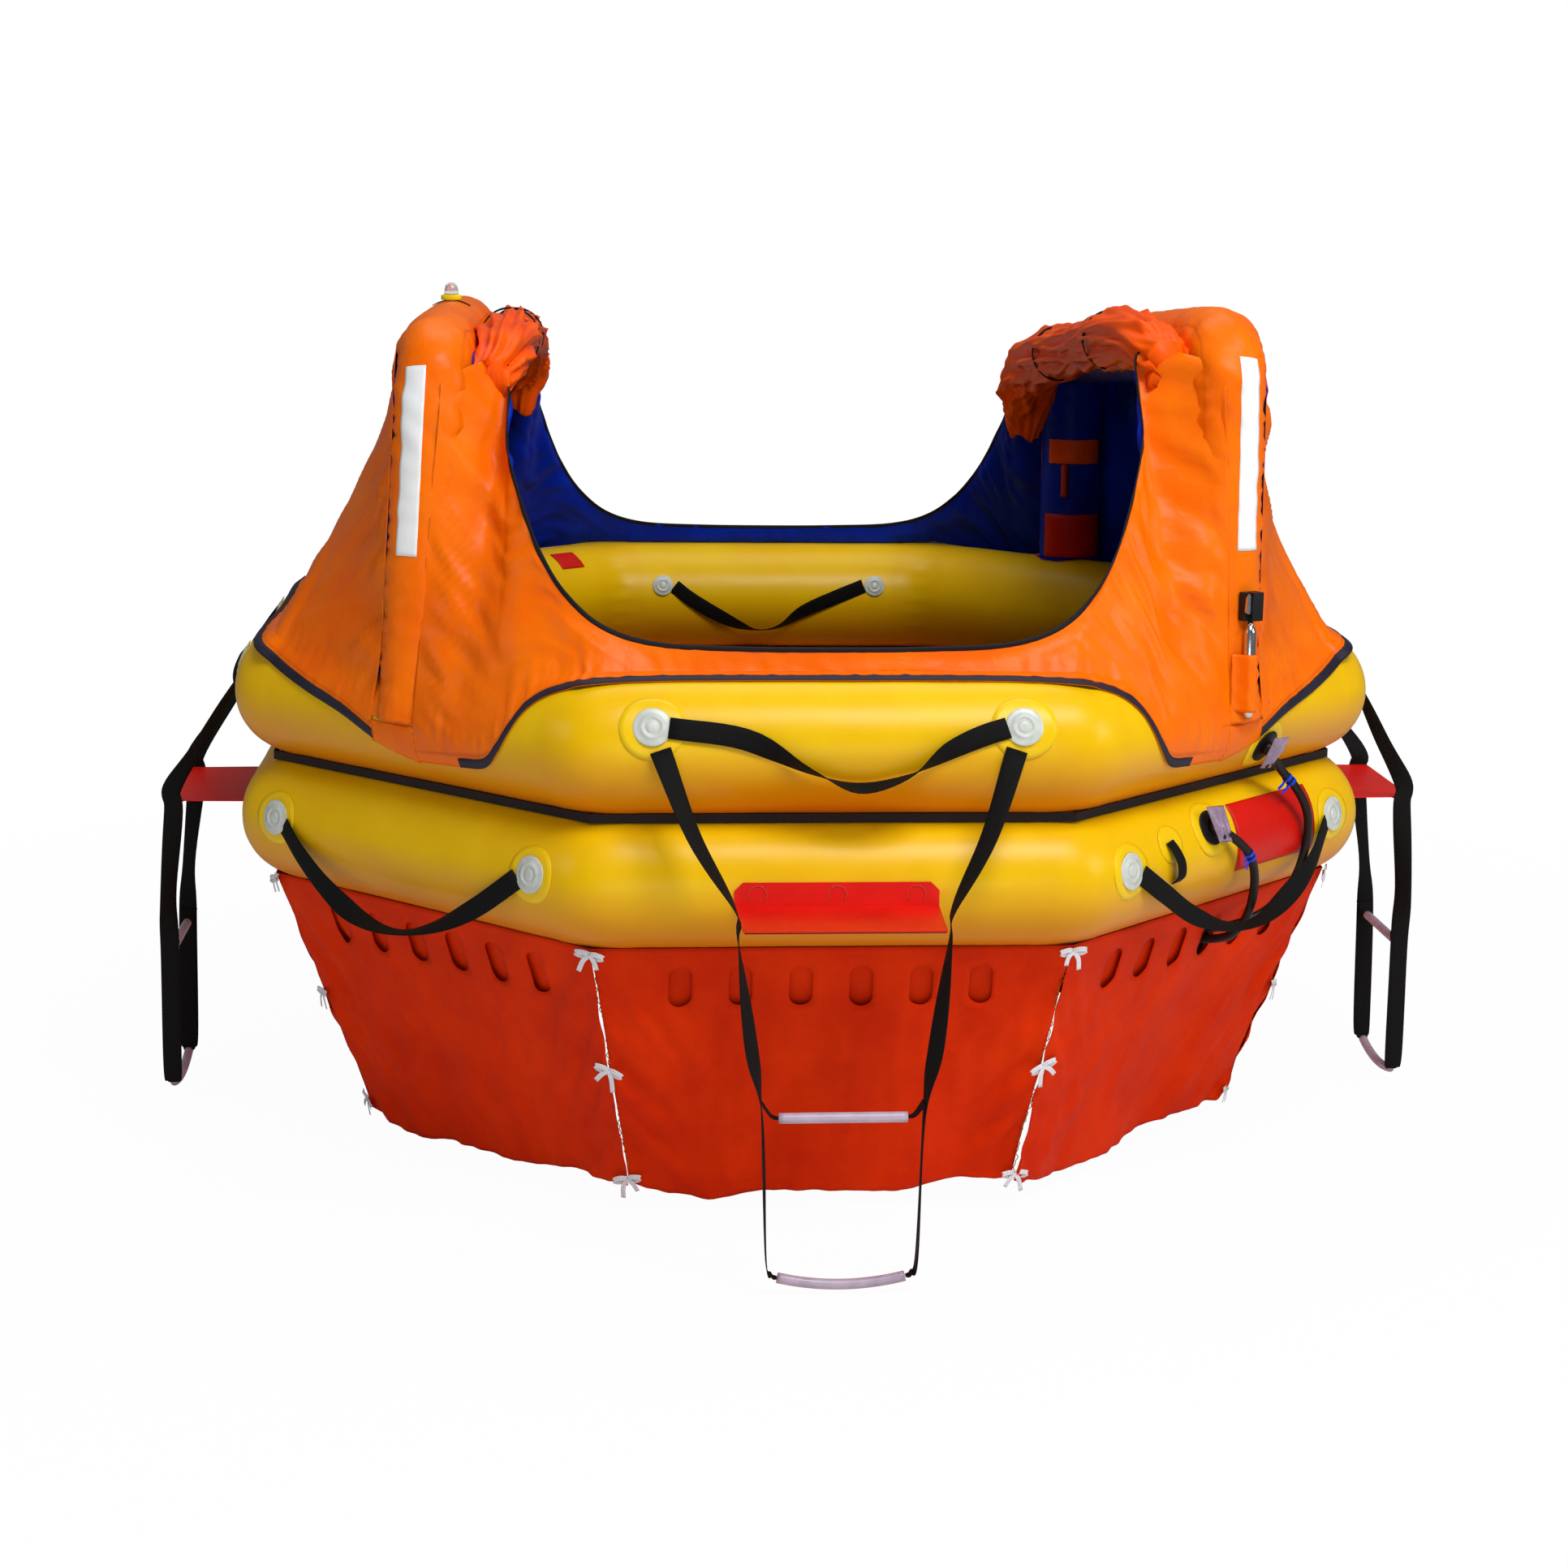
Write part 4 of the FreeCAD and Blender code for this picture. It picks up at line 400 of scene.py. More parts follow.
def skirt_panel(facet):
    def half_at(s):
        return TOP_HALF + (LOW_HALF - TOP_HALF) * min(s / SLOPE, 1)

    def hem(share):
        points = ((-1, 0), (-0.55, 0.034), (0.1, 0.027), (0.6, 0.010), (1, 0))
        x = [p[0] for p in points]
        return SLOPE + float(np.interp(share, x, [p[1] for p in points])) + 0.004 * math.sin(share * 7 + facet)

    border = [(-half_at(s), s) for s in np.linspace(0, SLOPE, 50)]
    border += [(share * LOW_HALF, hem(share)) for share in np.linspace(-1, 1, 70)[1:-1]]
    border += [(half_at(s), s) for s in np.linspace(SLOPE, 0, 50)]
    border += [(x, 0) for x in np.linspace(TOP_HALF, -TOP_HALF, 80)[1:-1]]
    loops = [border]
    slots = [(n - 2.5) * 0.128 for n in range(6)]
    for middle in slots:
        ring = []
        for k in range(32):
            turn = 2 * math.pi * k / 32
            ring.append((middle + 0.025 * math.cos(turn),
                         0.098 + math.copysign(0.025, math.sin(turn)) + 0.025 * math.sin(turn)))
        loops.append(ring)
    spots, edges = [], []
    for ring in loops:
        first = len(spots)
        spots += [Vector(p) for p in ring]
        edges += [(first + k, first + (k + 1) % len(ring)) for k in range(len(ring))]
    step = 0.0125
    for row, s in enumerate(np.arange(step, SLOPE + 0.03, step * 0.87)):
        for x in np.arange(-TOP_HALF, TOP_HALF, step) + (step / 2 if row % 2 else 0):
            near_slot = any(abs(x - m) < 0.0315 and abs(s - 0.098) < 0.0565 for m in slots)
            if abs(x) < half_at(s) - 0.006 and s < hem(x / LOW_HALF if abs(x) < LOW_HALF else 1) - 0.006 and not near_slot:
                spots.append(Vector((x, s)))
    flat, _, faces, _, _, _ = geometry.delaunay_2d_cdt(spots, edges, [], 0, 1e-5)
    kept = []
    for face in faces:
        x = sum(flat[i][0] for i in face) / 3
        s = sum(flat[i][1] for i in face) / 3
        if abs(x) > half_at(s) or s > hem(max(-1, min(1, x / LOW_HALF))):
            continue
        if any(math.hypot(x - m, max(abs(s - 0.098) - 0.025, 0)) < 0.0249 for m in slots):
            continue
        kept.append(face)
    x, s = np.array([p[0] for p in flat]), np.array([p[1] for p in flat])
    share = s / SLOPE
    slant = np.where(x > 0, 1, -1)
    off = billow(facet, x, s)
    edge_in = 0.0015 * np.exp(-((np.abs(x) - np.interp(share, [0, 1],
            [TOP_HALF, LOW_HALF])) / 0.02) ** 2) * np.abs(np.sin(share * 2 * math.pi))
    out_way = np.array([DROP, 0, -TAPER]) / SLOPE
    points = []
    for i in range(len(flat)):
        z_out = SKIRT_OUT - TAPER * share[i] + out_way[0] * (off[i] + 0.001)
        z = SKIRT_TOP - DROP * share[i] + out_way[2] * off[i]
        points.append(at(facet, x[i] - slant[i] * edge_in[i], z_out, z))
    mesh = bpy.data.meshes.new(f"skirt_{facet}")
    mesh.from_pydata([tuple(p) for p in points], [], [tuple(f) for f in kept])
    loose = set(range(len(points))) - {i for f in kept for i in f}
    if loose:
        mesh.validate()
    tone = np.exp(-((TOP_HALF + (LOW_HALF - TOP_HALF) * share - np.abs(x) - 0.03) / 0.0014) ** 2) * 0.6
    piece = dress(f"skirt_{facet}", mesh, skirt_orange, np.stack([x, s], -1), tone)
    thick = piece.modifiers.new("cloth", "SOLIDIFY")
    thick.thickness, thick.offset = 0.0012, 1
    part_of_raft(piece, "skirt_fabric", "skirt_panels")


def slot_flap(facet, first, last, label):
    """A flap of the same cloth that hangs inside the panel, behind its slots."""
    x, s = np.meshgrid(np.linspace(first, last, max(int((last - first) / 0.012), 4)),
                       np.linspace(0.019, 0.176, 16), indexing="ij")
    off = billow(facet, x, s) * 0.8 - 0.007 - 0.05 * (s - 0.019)
    rows = [[at(facet, x[i, j], SKIRT_OUT - TAPER * s[i, j] / SLOPE + DROP / SLOPE * off[i, j],
                SKIRT_TOP - DROP * s[i, j] / SLOPE - TAPER / SLOPE * off[i,
                        j]) for j in range(16)] for i in range(len(x))]
    piece = grid_piece(f"slot_flap_{facet}{label}", np.array(rows), skirt_orange, np.stack([x, s], -1))
    thick = piece.modifiers.new("cloth", "SOLIDIFY")
    thick.thickness, thick.offset = 0.0012, 0
    part_of_raft(piece, "skirt_fabric", "skirt_flaps")


for facet in range(8):
    skirt_panel(facet)
    if facet == 1:
        slot_flap(facet, -0.384, 0.032, "_near")
        slot_flap(facet, 0.096, 0.384, "_far")
    else:
        slot_flap(facet, -0.384, 0.384, "")


def unit(vector):
    return vector / max(np.linalg.norm(vector), 1e-9)


def spline(points, count):
    """Catmull-Rom curve through points (any shape after the first axis), count samples a span."""
    p = np.asarray(points, float)
    p = np.concatenate([2 * p[:1] - p[1:2], p, 2 * p[-1:] - p[-2:-1]])
    out = []
    for i in range(1, len(p) - 2):
        for t in np.arange(count) / count:
            a, b, c, d = p[i - 1], p[i], p[i + 1], p[i + 2]
            out.append(0.5 * (2 * b + (c - a) * t + (2 * a - 5 * b + 4 * c - d) * t ** 2 + (3 * b - a - 3 * c + d) * t ** 3))
    out.append(p[-2])
    return np.array(out)


def strap(name, centres, across, widths, thick, finish, count=6):
    """Webbing or tape along a smooth line; across gives its width's direction at each station."""
    line, turned = spline(centres, count), spline(across, count)
    wide = spline(np.ones(len(centres)) * widths, count)
    run = np.gradient(line, axis=0)
    rows, marks, length = [], [], 0
    for i, spot in enumerate(line):
        along = unit(run[i])
        side = unit(turned[i] - along * turned[i].dot(along))
        face = np.cross(along, side)
        half, deep = wide[i] / 2, thick / 2
        if i:
            length += np.linalg.norm(spot - line[i - 1])
        ring = ((half, 0), (half - deep, deep), (half / 3, deep), (-half / 3, deep), (-half + deep, deep),
                (-half, 0), (-half + deep, -deep), (-half / 3, -deep), (half / 3, -deep), (half - deep, -deep))
        rows.append([spot + side * a + face * b for a, b in ring])
        marks.append([(a, length) for a, _ in ring])
    return grid_piece(name, np.array(rows), finish, np.array(marks), wrap=True, cap=True)


# Tape and cord: matt spun yarn, a plain weave that shows as fine ribs.
def woven(name, colour, deep, rib_mm, rough=0.8, strength=0.5, sheen=0.0):
    finish = bpy.data.materials.new(name)
    finish.use_nodes = True
    tree = finish.node_tree
    shader = tree.nodes["Principled BSDF"]
    shader.inputs["Roughness"].default_value = rough
    shader.inputs["Sheen Weight"].default_value = sheen
    shader.inputs["Specular IOR Level"].default_value = 0.2
    where = add(tree, "TexCoord").outputs["UV"]
    ribs = add(tree, "TexWave", {"Vector": where, "Scale": 1000 / rib_mm / 6.2832, "Distortion": 0.6,
                                 "Detail": 1.0},
               bands_direction="Y")
    warp = add(tree, "TexWave", {"Vector": where, "Scale": 1000 / rib_mm / 6.2832, "Distortion": 0.4,
                                 "Detail": 1.0},
               bands_direction="X")
    mesh_of = add(tree, "Math", {0: ribs.outputs["Fac"], 1: warp.outputs["Fac"]}, operation="MULTIPLY")
    colour_of = add(tree, "Mix", {0: mesh_of.outputs[0], 6: linear(deep), 7: linear(colour)}, data_type="RGBA")
    tree.links.new(colour_of.outputs[2], shader.inputs["Base Color"])
    bump = add(tree, "Bump", {"Height": mesh_of.outputs[0], "Strength": strength, "Distance": rib_mm / 3000})
    tree.links.new(bump.outputs[0], shader.inputs["Normal"])
    return finish


lacing_yellow = woven("polyester_cord_yellow", "#D98E10", "#9A5A08", 3)
bow_white = woven("cotton_tape_white", "#F4F4F6", "#D8D8DE", 3)


def skirt_corner(corner, drop, lift):
    """A point over the lacing line of a corner, drop down it and lift outside it."""
    turn = math.radians(45 * corner - 67.5)
    out = np.array([math.cos(turn), math.sin(turn), 0])
    part = drop / DROP
    reach = (SKIRT_OUT - TAPER * part) / math.cos(math.radians(22.5)) + lift
    return out * reach + np.array([0, 0, SKIRT_TOP - drop]), out


def round_line(name, points, radius, finish, count=4, sides=8):
    """A thin cord or piping along a smooth line."""
    line = spline(points, count)
    run = np.gradient(line, axis=0)
    side = unit(np.cross(run[0], (0.3, 0.5, 0.8)))
    rows, marks, length = [], [], 0
    for i, spot in enumerate(line):
        along = unit(run[i])
        side = unit(side - along * side.dot(along))
        over = np.cross(along, side)
        length += np.linalg.norm(spot - line[max(i - 1, 0)])
        rows.append([spot + (side * math.cos(t) + over * math.sin(t)) * radius for t in 2 * np.pi * np.arange(sides) / sides])
        marks.append([(radius * t, length) for t in 2 * np.pi * np.arange(sides) / sides])
    return grid_piece(name, np.array(rows), finish, np.array(marks), wrap=True, cap=True)


for corner in range(8):
    _, out = skirt_corner(corner, 0, 0)
    across = np.array([-out[1], out[0], 0])
    lace = []
    for k in range(62):
        drop = 0.006 + 0.575 * k / 61
        spot, _ = skirt_corner(corner, drop, -0.005 + 0.003 * math.sin(k * 1.7))
        lace.append(spot + across * (0.0022 * (-1) ** k + 0.0035 * math.sin(k * 0.35 + corner)))
    part_of_raft(round_line(f"lace_{corner}", lace, 0.0010, lacing_yellow, 2, 6), "lacing_cord", "skirt_lacing")
    for number, share in enumerate((0.02, 0.5, 0.97)):
        spot, _ = skirt_corner(corner, DROP * share, 0.006)
        lean = math.sin(corner * 2.3 + number * 1.7) * 0.35
        way = np.cos(lean) * across + np.array([0, 0, math.sin(lean)])
        down = np.array([0, 0, -1.0]) * math.cos(lean) + across * math.sin(lean)
        for hand in (-1, 1):
            loop = [spot, spot + way * hand * 0.014 + out * 0.006 - down * 0.004,
                    spot + way * hand * 0.032 + out * 0.004,
                    spot + way * hand * 0.020 + out * 0.001 + down * 0.006, spot + down * 0.001]
            piece = strap(f"bow_{corner}_{number}_loop_{'ab'[hand > 0]}", loop, [down] * 5, 0.011, 0.0009,
                          bow_white, 4)
            part_of_raft(piece, "white_tape", "skirt_ties")
            fall = 0.030 + 0.014 * (0.5 + 0.5 * math.sin(corner * 5 + number * 3 + hand))
            tail = [spot + out * 0.002, spot + down * fall * 0.4 + way * hand * 0.012 + out * 0.003,
                    spot + down * fall + way * hand * (0.016 + 0.006 * math.sin(corner + number))]
            piece = strap(f"bow_{corner}_{number}_tail_{'ab'[hand > 0]}", tail, [way] * 3, 0.011, 0.0009,
                          bow_white, 4)
            part_of_raft(piece, "white_tape", "skirt_ties")

# ---------------------------------------------------------------------------------------------
# Arches: two inflated arches, each in a sleeve of the canopy's silicone-finished nylon, which is
# orange outside and blue toward the cabin. Seams down both sides gather the cloth in short puckers.
# ---------------------------------------------------------------------------------------------
canopy_orange = coated_cloth("proofed_nylon_orange", "#FA7600", "#F26400", 0.36, 4, 0.15, 0.45, 34,
                             tone="#A83C00", shine=0.14)
lining_blue = coated_cloth("nylon_lining_blue", "#0630C4", "#031E94", 0.42, 4, 0.15, 0.3, 50, shine=0.12)
ARCH_R, FOOT, BEND, FOOT_Z = 0.0825, 0.882, 0.100, 0.445
ARCHES = {"left": (-1, 0.046, 1.229, 1.222, 0.0), "right": (1, 0.008, 1.266, 1.160, 0.050)}


def arch_axis(side):
    """Centre line of an arch from its front foot, over the top, to its back foot."""
    hand, lean, front_z, back_z, toe = ARCHES[side]
    front, back, inner = front_z - FOOT_Z, back_z - FOOT_Z, FOOT - lean
    line = [(-FOOT, 0), (-FOOT, 0.04), (-inner, front - BEND), (-inner + BEND * 0.29, front - BEND * 0.29),
            (-inner + BEND, front),
            (inner - BEND, back), (inner - BEND * 0.29, back - BEND * 0.29), (inner, back - BEND), (FOOT, 0)]
    turn = Matrix.Rotation(hand * math.atan2(toe, 2 * FOOT), 3, "Z") @ Matrix.Rotation(
        -hand * math.atan2(lean, front_z - FOOT_Z), 3, "Y")
    return np.array([tuple(turn @ Vector((0, y + FOOT, z)) + Vector((hand * FOOT, -FOOT, FOOT_Z))) for y,
                     z in line])


def even(points, gap):
    """The same line with points an even distance apart."""
    steps = np.linalg.norm(np.diff(points, axis=0), axis=1)
    place = np.concatenate([[0], np.cumsum(steps)])
    wanted = np.linspace(0, place[-1], max(int(place[-1] / gap), 2) + 1)
    return np.stack([np.interp(wanted, place, points[:, k]) for k in range(3)], -1), wanted


SLEEVES = {}
SEAM_TURN = 1.1


def sleeve(side):
    """The sleeve's skin as rows round the arch; column 0 faces the middle of the raft."""
    axis = arch_axis(side)
    dense = np.concatenate([np.linspace(a, b, 12)[:-1] for a, b in zip(axis, axis[1:])] + [axis[-1:]])
    for _ in range(14):
        dense[1:-1] = (dense[:-2] + 2 * dense[1:-1] + dense[2:]) / 4
    line, place = even(dense, 0.009)
    run = np.gradient(line, axis=0)
    columns = 96
    grid = np.zeros((len(line), columns, 3))
    inner = np.zeros_like(line)
    hand = ARCHES[side][0]
    total = place[-1]
    leg_share = np.clip((0.95 - np.minimum(place, total - place)) / 0.22, 0, 1)
    for i, spot in enumerate(line):
        toward = np.array([-0.19 * hand, -math.copysign(0.98, spot[1]), 0]) * leg_share[i] + np.array([0, 0,
                leg_share[i] - 1])
        along = unit(run[i])
        inner[i] = unit(toward - along * toward.dot(along))
    for _ in range(10):
        inner[1:-1] = (inner[:-2] + 2 * inner[1:-1] + inner[2:]) / 4
    # The lining spans the side toward the cabin: columns 0 to 24 and 72 to 95.
    steps = np.arange(columns)
    spread = np.minimum(steps, columns - steps)
    half = np.radians(88 - 6 * leg_share)
    turn_grid = np.where(spread <= 24, half[:, None] * spread / 24,
                         half[:, None] + (np.pi - half[:, None]) * (spread - 24) / 24)
    turn_grid = np.where(steps <= columns // 2, turn_grid, 2 * np.pi - turn_grid)
    for i, spot in enumerate(line):
        along = unit(run[i])
        side_in = unit(inner[i] - along * inner[i].dot(along))
        over = np.cross(along, side_in)
        end = min(place[i], total - place[i])
        flare = 1 + 0.10 * math.exp(-(end / 0.05) ** 2) + 0.02 * math.exp(-(end / 0.25) ** 2)
        for j, turn in enumerate(turn_grid[i]):
            grid[i, j] = spot + (side_in * math.cos(turn) + over * math.sin(turn)) * ARCH_R * flare
    far, turn = np.broadcast_to(place[:, None], turn_grid.shape), turn_grid
    seam = np.minimum(np.abs(turn - np.pi + SEAM_TURN), np.abs(turn - np.pi - SEAM_TURN))
    near = np.exp(-(seam * ARCH_R / 0.020) ** 2)
    bend = np.exp(-((np.minimum(far, total - far) - 0.72) / 0.13) ** 2)
    seed = 11 if side == "left" else 23
    lift = near * 0.0050 * ripple(far * 62, turn * 0.8, seed) - near * 0.0012
    lift += 0.0020 * ripple(far * 30, turn * 1.3, seed + 2) - 0.0012
    lift += bend * 0.0050 * ripple(far * 22 + turn * 1.1, turn * 1.0, seed + 5)
    lift += np.exp(-np.minimum(far, total - far) / 0.10) * 0.0035 * ripple(far * 9, turn * 4, seed + 8)
    away = grid - line[:, None, :]
    grid = grid + away / np.linalg.norm(away, axis=-1, keepdims=True) * lift[..., None]
    grid = off_tube(grid, True, 0.0022, standing=True)
    SLEEVES[side] = (grid, line)
    stitch = np.exp(-(seam * ARCH_R / 0.0030) ** 2) * 0.5
    marks = np.stack([turn * ARCH_R, far], -1)
    piece = grid_piece(f"arch_sleeve_{side}", grid, canopy_orange, marks, wrap=True, cap=True, shade=stitch)
    piece.data.materials.append(lining_blue)
    count = (len(line) - 1) * columns
    index = np.zeros(len(piece.data.polygons), int)
    column = np.arange(count) % columns
    index[:count] = (column < 24) | (column >= columns - 24)
    piece.data.polygons.foreach_set("material_index", index.astype(np.int32))
    part_of_raft(piece, "canopy_fabric", f"arch_{side}")


for side in ARCHES:
    sleeve(side)

# Retroreflective film: white, faintly beaded, glued down the front and back of the legs.
reflective_white = coated_cloth("reflective_film_white", "#F2F3F4", "#E4E6E8", 0.35, 2, 0.2)
for side in ARCHES:
    grid, line = SLEEVES[side]
    hand = ARCHES[side][0]
    for end in (-1, 1):
        low_z, high_z = (0.789, 1.175) if side == "left" else ((0.819, 1.215) if end < 0 else (0.722, 1.115))
        rows = [i for i in range(len(line)) if low_z < line[i][2] < high_z and (line[i][1] < 0) == (end < 0)]
        facing = math.atan2(end, hand * 0.5)
        wrap = []
        for i in rows:
            ring = grid[i] - line[i]
            bearing = np.arctan2(ring[:, 1], ring[:, 0])
            gap = (bearing - facing + np.pi) % (2 * np.pi) - np.pi
            order = np.argsort(gap)
            wrap.append([np.array([np.interp(w / ARCH_R, gap[order],
                                             ring[order, k]) for k in range(3)]) * 1.012 + line[i]
                         for w in np.linspace(-0.026, 0.026, 9)])
        piece = grid_piece(f"reflective_strip_{side}_{'front' if end < 0 else 'back'}", np.array(wrap),
                           reflective_white)
        film = piece.modifiers.new("film", "SOLIDIFY")
        film.thickness, film.offset = 0.0006, 0
        part_of_raft(piece, "reflective_film", "reflective_strips")

# ---------------------------------------------------------------------------------------------
# Canopy: proofed nylon, orange outside and lined in blue. Front and back walls are cut away in a
# deep U, a panel covers the outside of each arch, and dark tape glues the lower edge to the tube.
# ---------------------------------------------------------------------------------------------
WRAP = 0.0025
TAPE_ANGLE = math.degrees(0.022 / TUBE_R)
ON_TUBE, EASE = 17, 8
SEWN_ROWS = 22


def beside_arch(point, direction, gap=0.0):
    return point + unit(np.array(direction, float)) * (ARCH_R + 0.0003 + gap)


def on_share(facet, share, angle, lift):
    spot = on_tube(facet, 0, angle, lift)
    return spot + sideways(facet) * (share * spot.dot(outward(facet)) * TAN)


def canopy_line(facet, share, edge, top, hollow):
    """One line of a panel: round the tube from its taped edge, then free up to its bound edge."""
    reach = TUBE_R + WRAP
    out, rise = top.dot(outward(facet)) - UPPER_OUT, top[2] - UPPER_Z
    leave = math.degrees(math.atan2(rise, out) - math.acos(min(1, reach / math.hypot(out, rise))))
    leave = max(leave, edge + 2.5 * TAPE_ANGLE)
    points = [on_share(facet, share, edge + TAPE_ANGLE * k / 3, WRAP) for k in range(3)]
    points += [on_share(facet, share, turn, WRAP) for turn in np.linspace(edge + TAPE_ANGLE, leave,
            ON_TUBE - 3)]
    start = points[-1]
    for t in np.linspace(0, 1, 41)[1:]:
        points.append(start + (top - start) * t - outward(facet) * (hollow * 4 * t * (1 - t)))
    return np.array(points)


def hug(points, side):
    """Draws the free part of a panel's end line in, by degrees, to lie against the arch's sleeve."""
    axis = arch_axis(side)
    for i in range(ON_TUBE, len(points)):
        foot, knee = (axis[0], axis[2]) if points[i][1] < 0 else (axis[8], axis[6])
        rise = min(max((points[i][2] - foot[2]) / (knee[2] - foot[2]), 0), 1)
        if rise < 1:
            middle = foot + (knee - foot) * rise
            away = (points[i] - middle) * (1, 1, 0)
            ease = min((i - ON_TUBE + 1) / EASE, 1)
            points[i] = points[i] - away * ease + unit(away) * (ARCH_R + 0.0010) * ease
    return points


def wall_lines(side, end):
    hand = ARCHES[side][0]
    axis = arch_axis(side)
    spine = axis if end < 0 else axis[::-1]
    shoulder, knee, brow = (spine[2], spine[3], spine[4]) if end < 0 else (spine[1], spine[2], spine[3])
    mid, corner = (0, 1 if hand > 0 else 7) if end < 0 else (4, 3 if hand > 0 else 5)
    sweep = hand if end < 0 else -hand
    top_z = UPPER_Z + TUBE_R + 0.046
    half = 0.690 if end < 0 else 0.6555
    tall, lip, inner = brow[2] - top_z, UPPER_OUT - 0.008, abs(brow[1]) + 0.024

    def lip_at(x_share, z_share):
        return np.array([hand * half * x_share, end * (lip + (inner - lip) * z_share), top_z + tall * z_share])

    leg = [beside_arch(knee, (-hand * 0.9, end * 0.5, 0), 0.002),
           beside_arch((shoulder + knee) / 2, (-hand * 0.24, end * 0.97, 0), 0.002)]
    spots = [
        (mid, 0, 68, lip_at(0, 0), 2), (mid, 0.37 * sweep, 68, lip_at(0.29, 0.003), 2),
        (mid, 0.74 * sweep, 67, lip_at(0.54, 0.018), 2), (mid, sweep, 62, lip_at(0.7, 0.075), 4),
        (corner, -0.91 * sweep, 54, lip_at(0.81, 0.18), 8), (corner, -0.8 * sweep, 42, lip_at(0.88, 0.3), 14),
        (corner, -0.72 * sweep, 27, lip_at(0.925, 0.42), 16), (corner, -0.66 * sweep, 9, lip_at(0.96, 0.54),
                16),
        (corner, -0.6 * sweep, -8, lip_at(0.99, 0.68), 16), (corner, -0.52 * sweep, -23,
                lip_at(0.985, 0.85), 14),
        (corner, -0.39 * sweep, -27, lip_at(1, 0.97), 8), (corner, -0.26 * sweep, -29, leg[0], 0),
        (corner, -0.12 * sweep, -31, leg[1], 0)]
    lines = [canopy_line(f, share, edge, top, hollow / 1000) for f, share, edge, top, hollow in spots]
    return lines[:-1] + [hug(lines[-1], side)]


def side_lines(side):
    hand = ARCHES[side][0]
    axis = arch_axis(side)
    flat = 2 if hand > 0 else 6
    front, back = (1, 3) if hand > 0 else (7, 5)
    tops = [beside_arch(axis[2], (hand, -0.28, 0), 0.004), beside_arch(axis[4], (hand, -0.1, 0.05), 0.004)]
    tops += [beside_arch(axis[4] + (axis[5] - axis[4]) * t, (hand, 0, 0), 0.002)
             for t in (0.07, 0.15, 0.28, 0.5, 0.72, 0.85, 0.93)]
    tops += [beside_arch(axis[5], (hand, 0.1, 0.05), 0.004), beside_arch(axis[7], (hand, 0.28, 0), 0.004)]
    places = [(front, 0.12, -15), (front, 0.3, 1), (front, 0.54, 15), (front, 0.78, 31), (front, 1, 50),
              (flat, 0, 54),
              (back, -1, 50), (back, -0.78, 31), (back, -0.54, 15), (back, -0.3, 1), (back, -0.12, -15)]
    rows = []
    for i, ((facet, share, edge), top) in enumerate(zip(places, tops)):
        hollow = 0.044 * math.sin(math.pi * i / (len(places) - 1))
        rows.append(canopy_line(facet, hand * share, edge, top, hollow))
    return [hug(rows[0], side)] + rows[1:-1] + [hug(rows[-1], side)]


def normals(grid):
    face = np.cross(np.gradient(grid, axis=0), np.gradient(grid, axis=1))
    face /= np.linalg.norm(face, axis=-1, keepdims=True).clip(1e-9)
    inward = np.array([0, 0, UPPER_Z]) - grid
    return face * -np.sign((face * inward).sum(-1, keepdims=True))


def lengths(grid):
    """Cloth coordinates in metres: along the panel at mid height, and up each line."""
    up = np.concatenate([np.zeros((len(grid), 1)), np.cumsum(np.linalg.norm(np.diff(grid, axis=1), axis=-1),
            1)], 1)
    middle = grid[:, grid.shape[1] // 2]
    along = np.concatenate([[0], np.cumsum(np.linalg.norm(np.diff(middle, axis=0), axis=-1))])
    return np.broadcast_to(along[:, None], up.shape), up


tape_dark = coated_cloth("edge_tape_dark", "#2E2A3C", "#1A1724", 0.55, 3, 0.3)
binding_dark = coated_cloth("binding_tape_black", "#17141C", "#0C0A10", 0.6, 3, 0.3)


